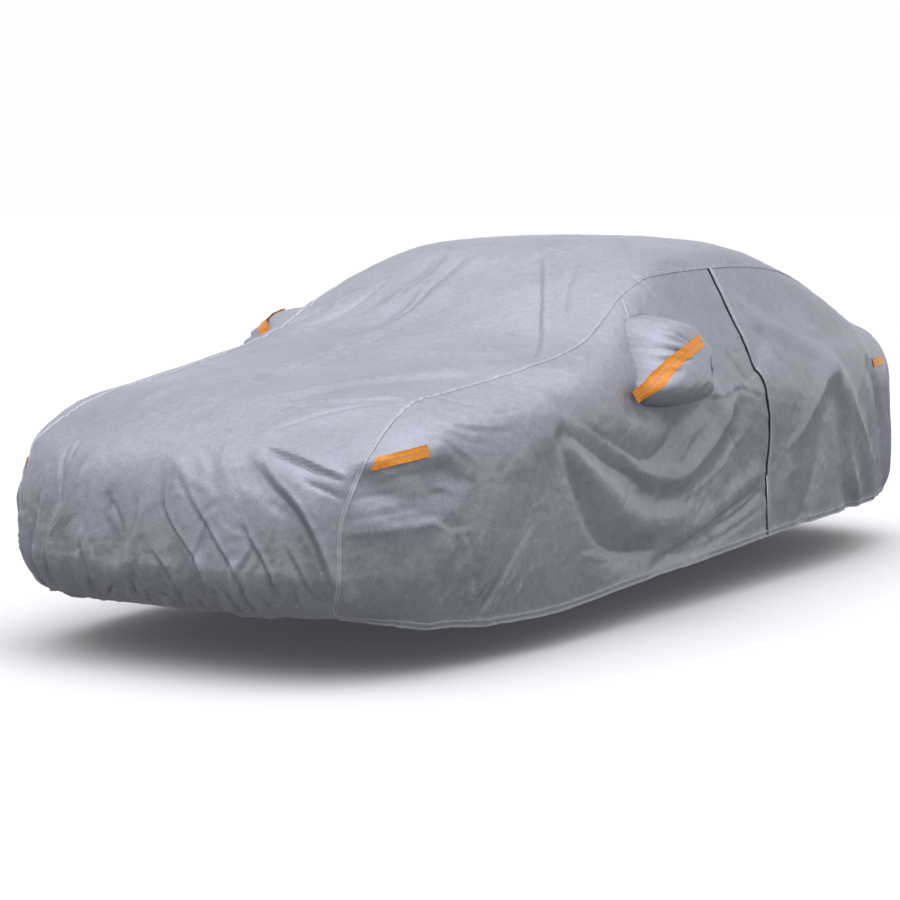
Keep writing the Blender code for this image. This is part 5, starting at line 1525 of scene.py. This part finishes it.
def beside(curve, top_shift, low_shift):
    """A line beside the zip, its two ends moved by given amounts."""
    t = np.linspace(0.0, 1.0, len(curve))[:, None]
    moved = curve + (1 - t) * low_shift + t * top_shift
    moved[1:-1] = settle(moved[1:-1])
    return moved


def plain_side(front_cells, top_front_cells, rear_cells, top_rear_cells):
    """Plain grids of the left side: before the zip, its two bands, and behind it."""
    corner_up = cut_even(seam_line[:front_turn + 1], front_cells)
    top_front = cut_even(seam_line[front_turn:seam_zip + 1], top_front_cells)
    top_rear = cut_even(seam_line[seam_flap:rear_turn + 1], top_rear_cells)
    corner_down = cut_even(seam_line[rear_turn:], rear_cells)
    hem_front = cut_even(hem_line[:hem_zip + 1], top_front_cells)
    hem_rear = cut_even(hem_line[hem_flap:], top_rear_cells)
    lines = []
    for cells in (front_cells, rear_cells):
        up = cut_even(zip_line[::-1], cells)
        up[0] = hem_line[hem_zip]
        up[-1] = seam_line[seam_zip]
        chain = beside(up, seam_line[seam_chain] - up[-1], hem_line[hem_chain] - up[0])
        flap = beside(up, seam_line[seam_flap] - up[-1], hem_line[hem_flap] - up[0])
        lines.append((up, chain, flap))
    front = patch(hem_front, top_front, corner_up, lines[0][0])
    rear = patch(hem_rear, top_rear, lines[1][2], corner_down[::-1])
    return front, lines[0], rear


def middle_grid(seam):
    """Plain grid of the middle panel: [station along the seam, left to right]."""
    other = mirrored(seam)
    u = np.linspace(0.0, 1.0, CENTRE_ACROSS + 1)[None, :, None]
    grid = (1 - u) * seam[:, None] + u * other[:, None]
    along = unit((1 - u) * outward(seam)[:, None] + u * outward(other)[:, None])
    dip = 4 * u[..., 0] * (1 - u[..., 0]) * END_HEM_DIP
    grid[0, :, 2] -= dip[0]
    grid[-1, :, 2] -= dip[0]
    along[0, :, 2] = 0.0
    along[-1, :, 2] = 0.0
    grid[:, 1:-1] = settle(grid[:, 1:-1], along[:, 1:-1])
    return grid


def hemmed(grid):
    return add_hem_rows(grid, np.zeros(grid.shape[:2]))


middle = middle_grid(cut_by(seam_line, CENTRE_PITCHES))
middle, rise = flip(*add_hem_rows(*flip(*hemmed(middle))))
centre_piece(middle, rise, cloth)

front_side, _, rear_side = plain_side(FRONT_CELLS, TOP_FRONT_CELLS, REAR_CELLS, TOP_REAR_CELLS)
cloth_piece("left_front_panel", *hemmed(front_side), cloth, pocket_rim[1][:, [0, 2]],
            flat=(2.86, 1.22), held="stretched", rests_on=[], area=2.69)
cloth_piece("left_rear_panel", *hemmed(rear_side), cloth, flat=(2.01, 1.19), held="stretched", rests_on=[],
            area=2.04)

right_front, right_lines, right_rear = plain_side(*RIGHT_CELLS)
whole = np.concatenate([right_front, right_lines[1][:, None], right_rear], axis=1)
cloth_piece("right_side_panel", *hemmed(mirrored(whole)), cloth, pocket_rim[-1][:, [0, 2]],
            flat=(4.86, 1.22), held="stretched", rests_on=[], area=4.74)

for side, hand in (("left", 1), ("right", -1)):
    pocket(side + "_mirror_pocket", hand, pocket_rim[hand], cloth, flat=(0.67, 0.61), held="stretched",
           rests_on=[], area=0.29)

# ---------------------------------------------------------------- zip
ZIP_ROWS = 170
ZIP_COLUMNS = 8
up, chain, flap = plain_side(ZIP_ROWS, 4, 4, 4)[1]


def band(first, last, columns, profile):
    """Grid between two lines with its rise taken from a profile of shares."""
    u = np.linspace(0.0, 1.0, columns + 1)[None, :, None]
    plain = (1 - u) * first[:, None] + u * last[:, None]
    plain[:, 1:-1] = settle(plain[:, 1:-1])
    rise = np.interp(u[0, :, 0], [row[0] for row in profile], [row[1] for row in profile])
    return plain, np.broadcast_to(rise, plain.shape[:2])


def zip_band(name, first, last, profile, mat):
    plain, rise = band(first, last, ZIP_COLUMNS, profile)
    shape = plain.shape
    flat = plain.reshape(-1, 3)
    height, normal = cloth_height(flat)
    outer = flat + normal * (height + rise.reshape(-1))[:, None]
    points, every, _ = closed_sheet(outer, grid_faces(*shape[:2]), CLOTH, normal)
    cut = grid_cut(plain)
    item = add_mesh(name, points, every, mat, np.concatenate([cut, cut]))
    return item


zip_band("zip_tape", up, chain, [(0, 0.0), (0.2, -0.0014), (0.8, -0.0014), (1, 0.0)], tape)
flap_item = zip_band("flap", chain, flap, [(0.0, 0.0032), (0.06, 0.0042), (0.5, 0.0032), (0.8, 0.0020),
                                          (0.96, 0.0008), (1, 0.0)], flap_cloth_painted_highlight)
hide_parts("zip_flap")

middle_line, middle_normal = on_skin(0.55 * up + 0.45 * chain, 0.0015)
forward, across = frame_along(middle_line, middle_normal)
TOOTH = [
    # along, across, up, in metres
    (-0.0009, -0.0030, -0.0006),
    (0.0009, -0.0030, -0.0006),
    (0.0009, 0.0030, -0.0006),
    (-0.0009, 0.0030, -0.0006),
    (-0.0006, -0.0024, 0.0010),
    (0.0006, -0.0024, 0.0010),
    (0.0006, 0.0024, 0.0010),
    (-0.0006, 0.0024, 0.0010),
]
TOOTH_FACES = [(3, 2, 1, 0), (4, 5, 6, 7), (0, 1, 5, 4), (1, 2, 6, 5), (2, 3, 7, 6), (3, 0, 4, 7)]
points = []
faces = []
for i in range(1, len(middle_line) - 1, 2):
    for a, c, h in TOOTH:
        points.append(middle_line[i] + forward[i] * a + across[i] * c + middle_normal[i] * (h - 0.0004))
    faces += [tuple(8 * (i // 2) + k for k in face) for face in TOOTH_FACES]
teeth = add_mesh("zip_coil", np.array(points), faces, coil)
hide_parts("zip_chain")

# ---------------------------------------------------------------- seams
WELT_WIDTH = 0.016
WELT_HEIGHT = 0.0042
STITCH_OUT = 0.0049
STITCH_LIFT = 0.0038
for side, turned, hand in (("left", lambda c: c, 1), ("right", mirrored, -1)):
    line, normal = on_skin(turned(seam_line))
    welt(side + "_long_seam", line, normal, WELT_WIDTH, WELT_HEIGHT, seam_cloth_painted_highlight, seed=hand + 3)
    rows = [(line, normal, out, STITCH_LIFT, False) for out in (STITCH_OUT, -STITCH_OUT)]
    stitch_rows(side + "_long_seam_stitches", rows, thread)
    rim = pocket_rim[hand]
    height, normal = cloth_height(rim)
    line = rim + normal * height[:, None]
    loop = np.concatenate([line, line[:1]])
    turned_normal = np.concatenate([normal, normal[:1]])
    welt(side + "_pocket_seam", line, normal, 0.010, 0.0030, cloth, closed=True, seed=hand + 9)
    rows = [(loop, turned_normal, out, 0.0027, False) for out in (-0.003, 0.003)]
    stitch_rows(side + "_pocket_stitches", rows, thread)


DART = [
    # x, height
    (0.412, 1.218),
    (0.449, 1.191),
    (0.482, 1.160),
    (0.520, 1.134),
]
for hand in (1, -1):
    dart = side_plain(smooth_path(DART, 30), hand)
    line, normal = on_skin(dart, 0.004)
    welt("dart_seam_" + ("left" if hand > 0 else "right"), line, normal, 0.009, 0.0026, seam_cloth_painted_highlight,
         seed=hand + 60)


def above_hem(curve, far, way_up):
    """Points a given distance above a hem, on the folded cloth."""
    plain = settle(cut_even(curve, int(run_of(curve)[-1] / WELT_PITCH)))
    forward = unit(np.gradient(plain, axis=0))
    normal = outward(plain)
    up = unit(np.cross(normal, forward))
    up *= np.sign(up[:, 2:])
    plain = settle(plain + up * far)
    height, normal = cloth_height(plain)
    return plain + normal * (height + way_up)[:, None] + drawn_under(plain), normal


hems = {"left_hem": hem_line, "right_hem": mirrored(hem_line)}
for seed, (name, curve) in enumerate(hems.items()):
    line, normal = above_hem(curve, 0.003, HEM_RISE)
    welt(name + "_binding", line, normal, 0.008, 0.0022, seam_cloth_painted_highlight, seed=seed + 20)
    line, normal = above_hem(curve, HEM_BAND - 0.002, HEM_RISE)
    welt(name + "_upper_fold", line, normal, 0.005, 0.0014, seam_cloth_painted_highlight, seed=seed + 30)
    rows = []
    for far in (0.010, HEM_BAND - 0.007):
        line, normal = above_hem(curve, far, HEM_RISE)
        rows.append((line, normal, 0.0, 0.0004, False))
    stitch_rows(name + "_stitches", rows, thread)

line, normal = on_skin(flap)
welt("zip_flap_seam", line, normal, 0.009, 0.0030, seam_cloth_painted_highlight, seed=50)
stitch_rows("zip_flap_stitches", [(line, normal, 0.003 * side, 0.0027, False) for side in (-1, 1)], thread)
line, normal = on_skin(chain)
welt("zip_flap_edge", line + normal * 0.0036, normal, 0.004, 0.0014, seam_cloth_painted_highlight, seed=51)

for side, hand in (("left", 1), ("right", -1)):
    panels = {
        "front": ["left_front_panel" if hand > 0 else "right_side_panel"],
        "rear": ["left_rear_panel" if hand > 0 else "right_side_panel"],
    }
    panels["pocket"] = [side + "_mirror_pocket"] + panels["front"]
    panels["front"] = panels["front"] + ["centre_panel"]
    for strip_side, place, panel, width, slant, path in STRIPS:
        if strip_side == side:
            strip("strip_" + place + "_" + side, hand, [carriers[n] for n in panels[panel]], width, slant, path,
                  orange, dark_thread)

# ---------------------------------------------------------------- floor, light, camera
FLOOR_Z = -float(ORIGIN[2])
bpy.ops.mesh.primitive_plane_add(size=6000.0, location=(0.0, 0.0, FLOOR_Z))
floor = bpy.context.object
floor.name = "floor"
floor_mat, tree, shader = shader_of("matt_white_floor", Roughness=0.9)
shader.inputs["Base Color"].default_value = (0.855, 0.855, 0.855, 1.0)
floor.data.materials.append(floor_mat)
floor.visible_diffuse = False
floor.visible_glossy = False

world = bpy.data.worlds.new("studio")
bpy.context.scene.world = world
world.use_nodes = True
tree = world.node_tree
view_way = node(tree, "ShaderNodeTexCoord").outputs["Generated"]
way_up = node(tree, "ShaderNodeSeparateXYZ", Vector=view_way).outputs[2]
sky = ramp(tree, way_up, [
    (0.0, (0.985, 0.985, 0.985, 1)),
    (0.12, (0.985, 0.985, 0.985, 1)),
    (0.24, (0.58, 0.58, 0.585, 1)),
    (0.58, (0.70, 0.705, 0.72, 1)),
    (0.82, (1.60, 1.61, 1.66, 1)),
    (1.0, (2.05, 2.06, 2.12, 1)),
])
above = node(tree, "ShaderNodeMapRange", Value=way_up, i1=-0.004, i2=-0.002, i3=0.0, i4=1.0).outputs[0]
LOWER_HALF = (0.232, 0.232, 0.237, 1.0)      # light that the ground sends back up
whole = node(tree, "ShaderNodeMix", {"data_type": "RGBA"}, i0=above, i6=LOWER_HALF, i7=sky).outputs[2]
tree.links.new(whole, tree.nodes["Background"].inputs["Color"])
tree.nodes["Background"].inputs["Strength"].default_value = 1.0


def area_light(name, place, target, size, watts, colour):
    data = bpy.data.lights.new(name, "AREA")
    data.shape = "RECTANGLE"
    data.size = size[0]
    data.size_y = size[1]
    data.energy = watts
    data.color = colour
    lamp = bpy.data.objects.new(name, data)
    lamp.location = place
    way = Vector(target) - Vector(place)
    lamp.rotation_euler = way.to_track_quat("-Z", "Y").to_euler()
    bpy.context.scene.collection.objects.link(lamp)
    return lamp


area_light("key_from_above", (0.5, 1.5, 9.0), (0.0, 0.0, -0.6), (6.0, 4.0), 120.0, (1.0, 1.0, 1.0))

YAW = math.radians(31.708)
PITCH = math.radians(5.477)
DISTANCE = 9.857
TARGET = (0.557, 0.0, 0.603)
camera_data = bpy.data.cameras.new("camera")
camera_data.lens = 98.25
camera_data.sensor_width = 36.0
camera_data.clip_end = 6000.0
camera = bpy.data.objects.new("camera", camera_data)
back = Vector((math.cos(YAW) * math.cos(PITCH), math.sin(YAW) * math.cos(PITCH), math.sin(PITCH)))
camera.location = Vector(TARGET) - Vector(ORIGIN) + DISTANCE * back
camera.rotation_euler = back.to_track_quat("Z", "Y").to_euler()
bpy.context.scene.collection.objects.link(camera)
bpy.context.scene.camera = camera
bpy.context.scene.view_settings.view_transform = "Standard"
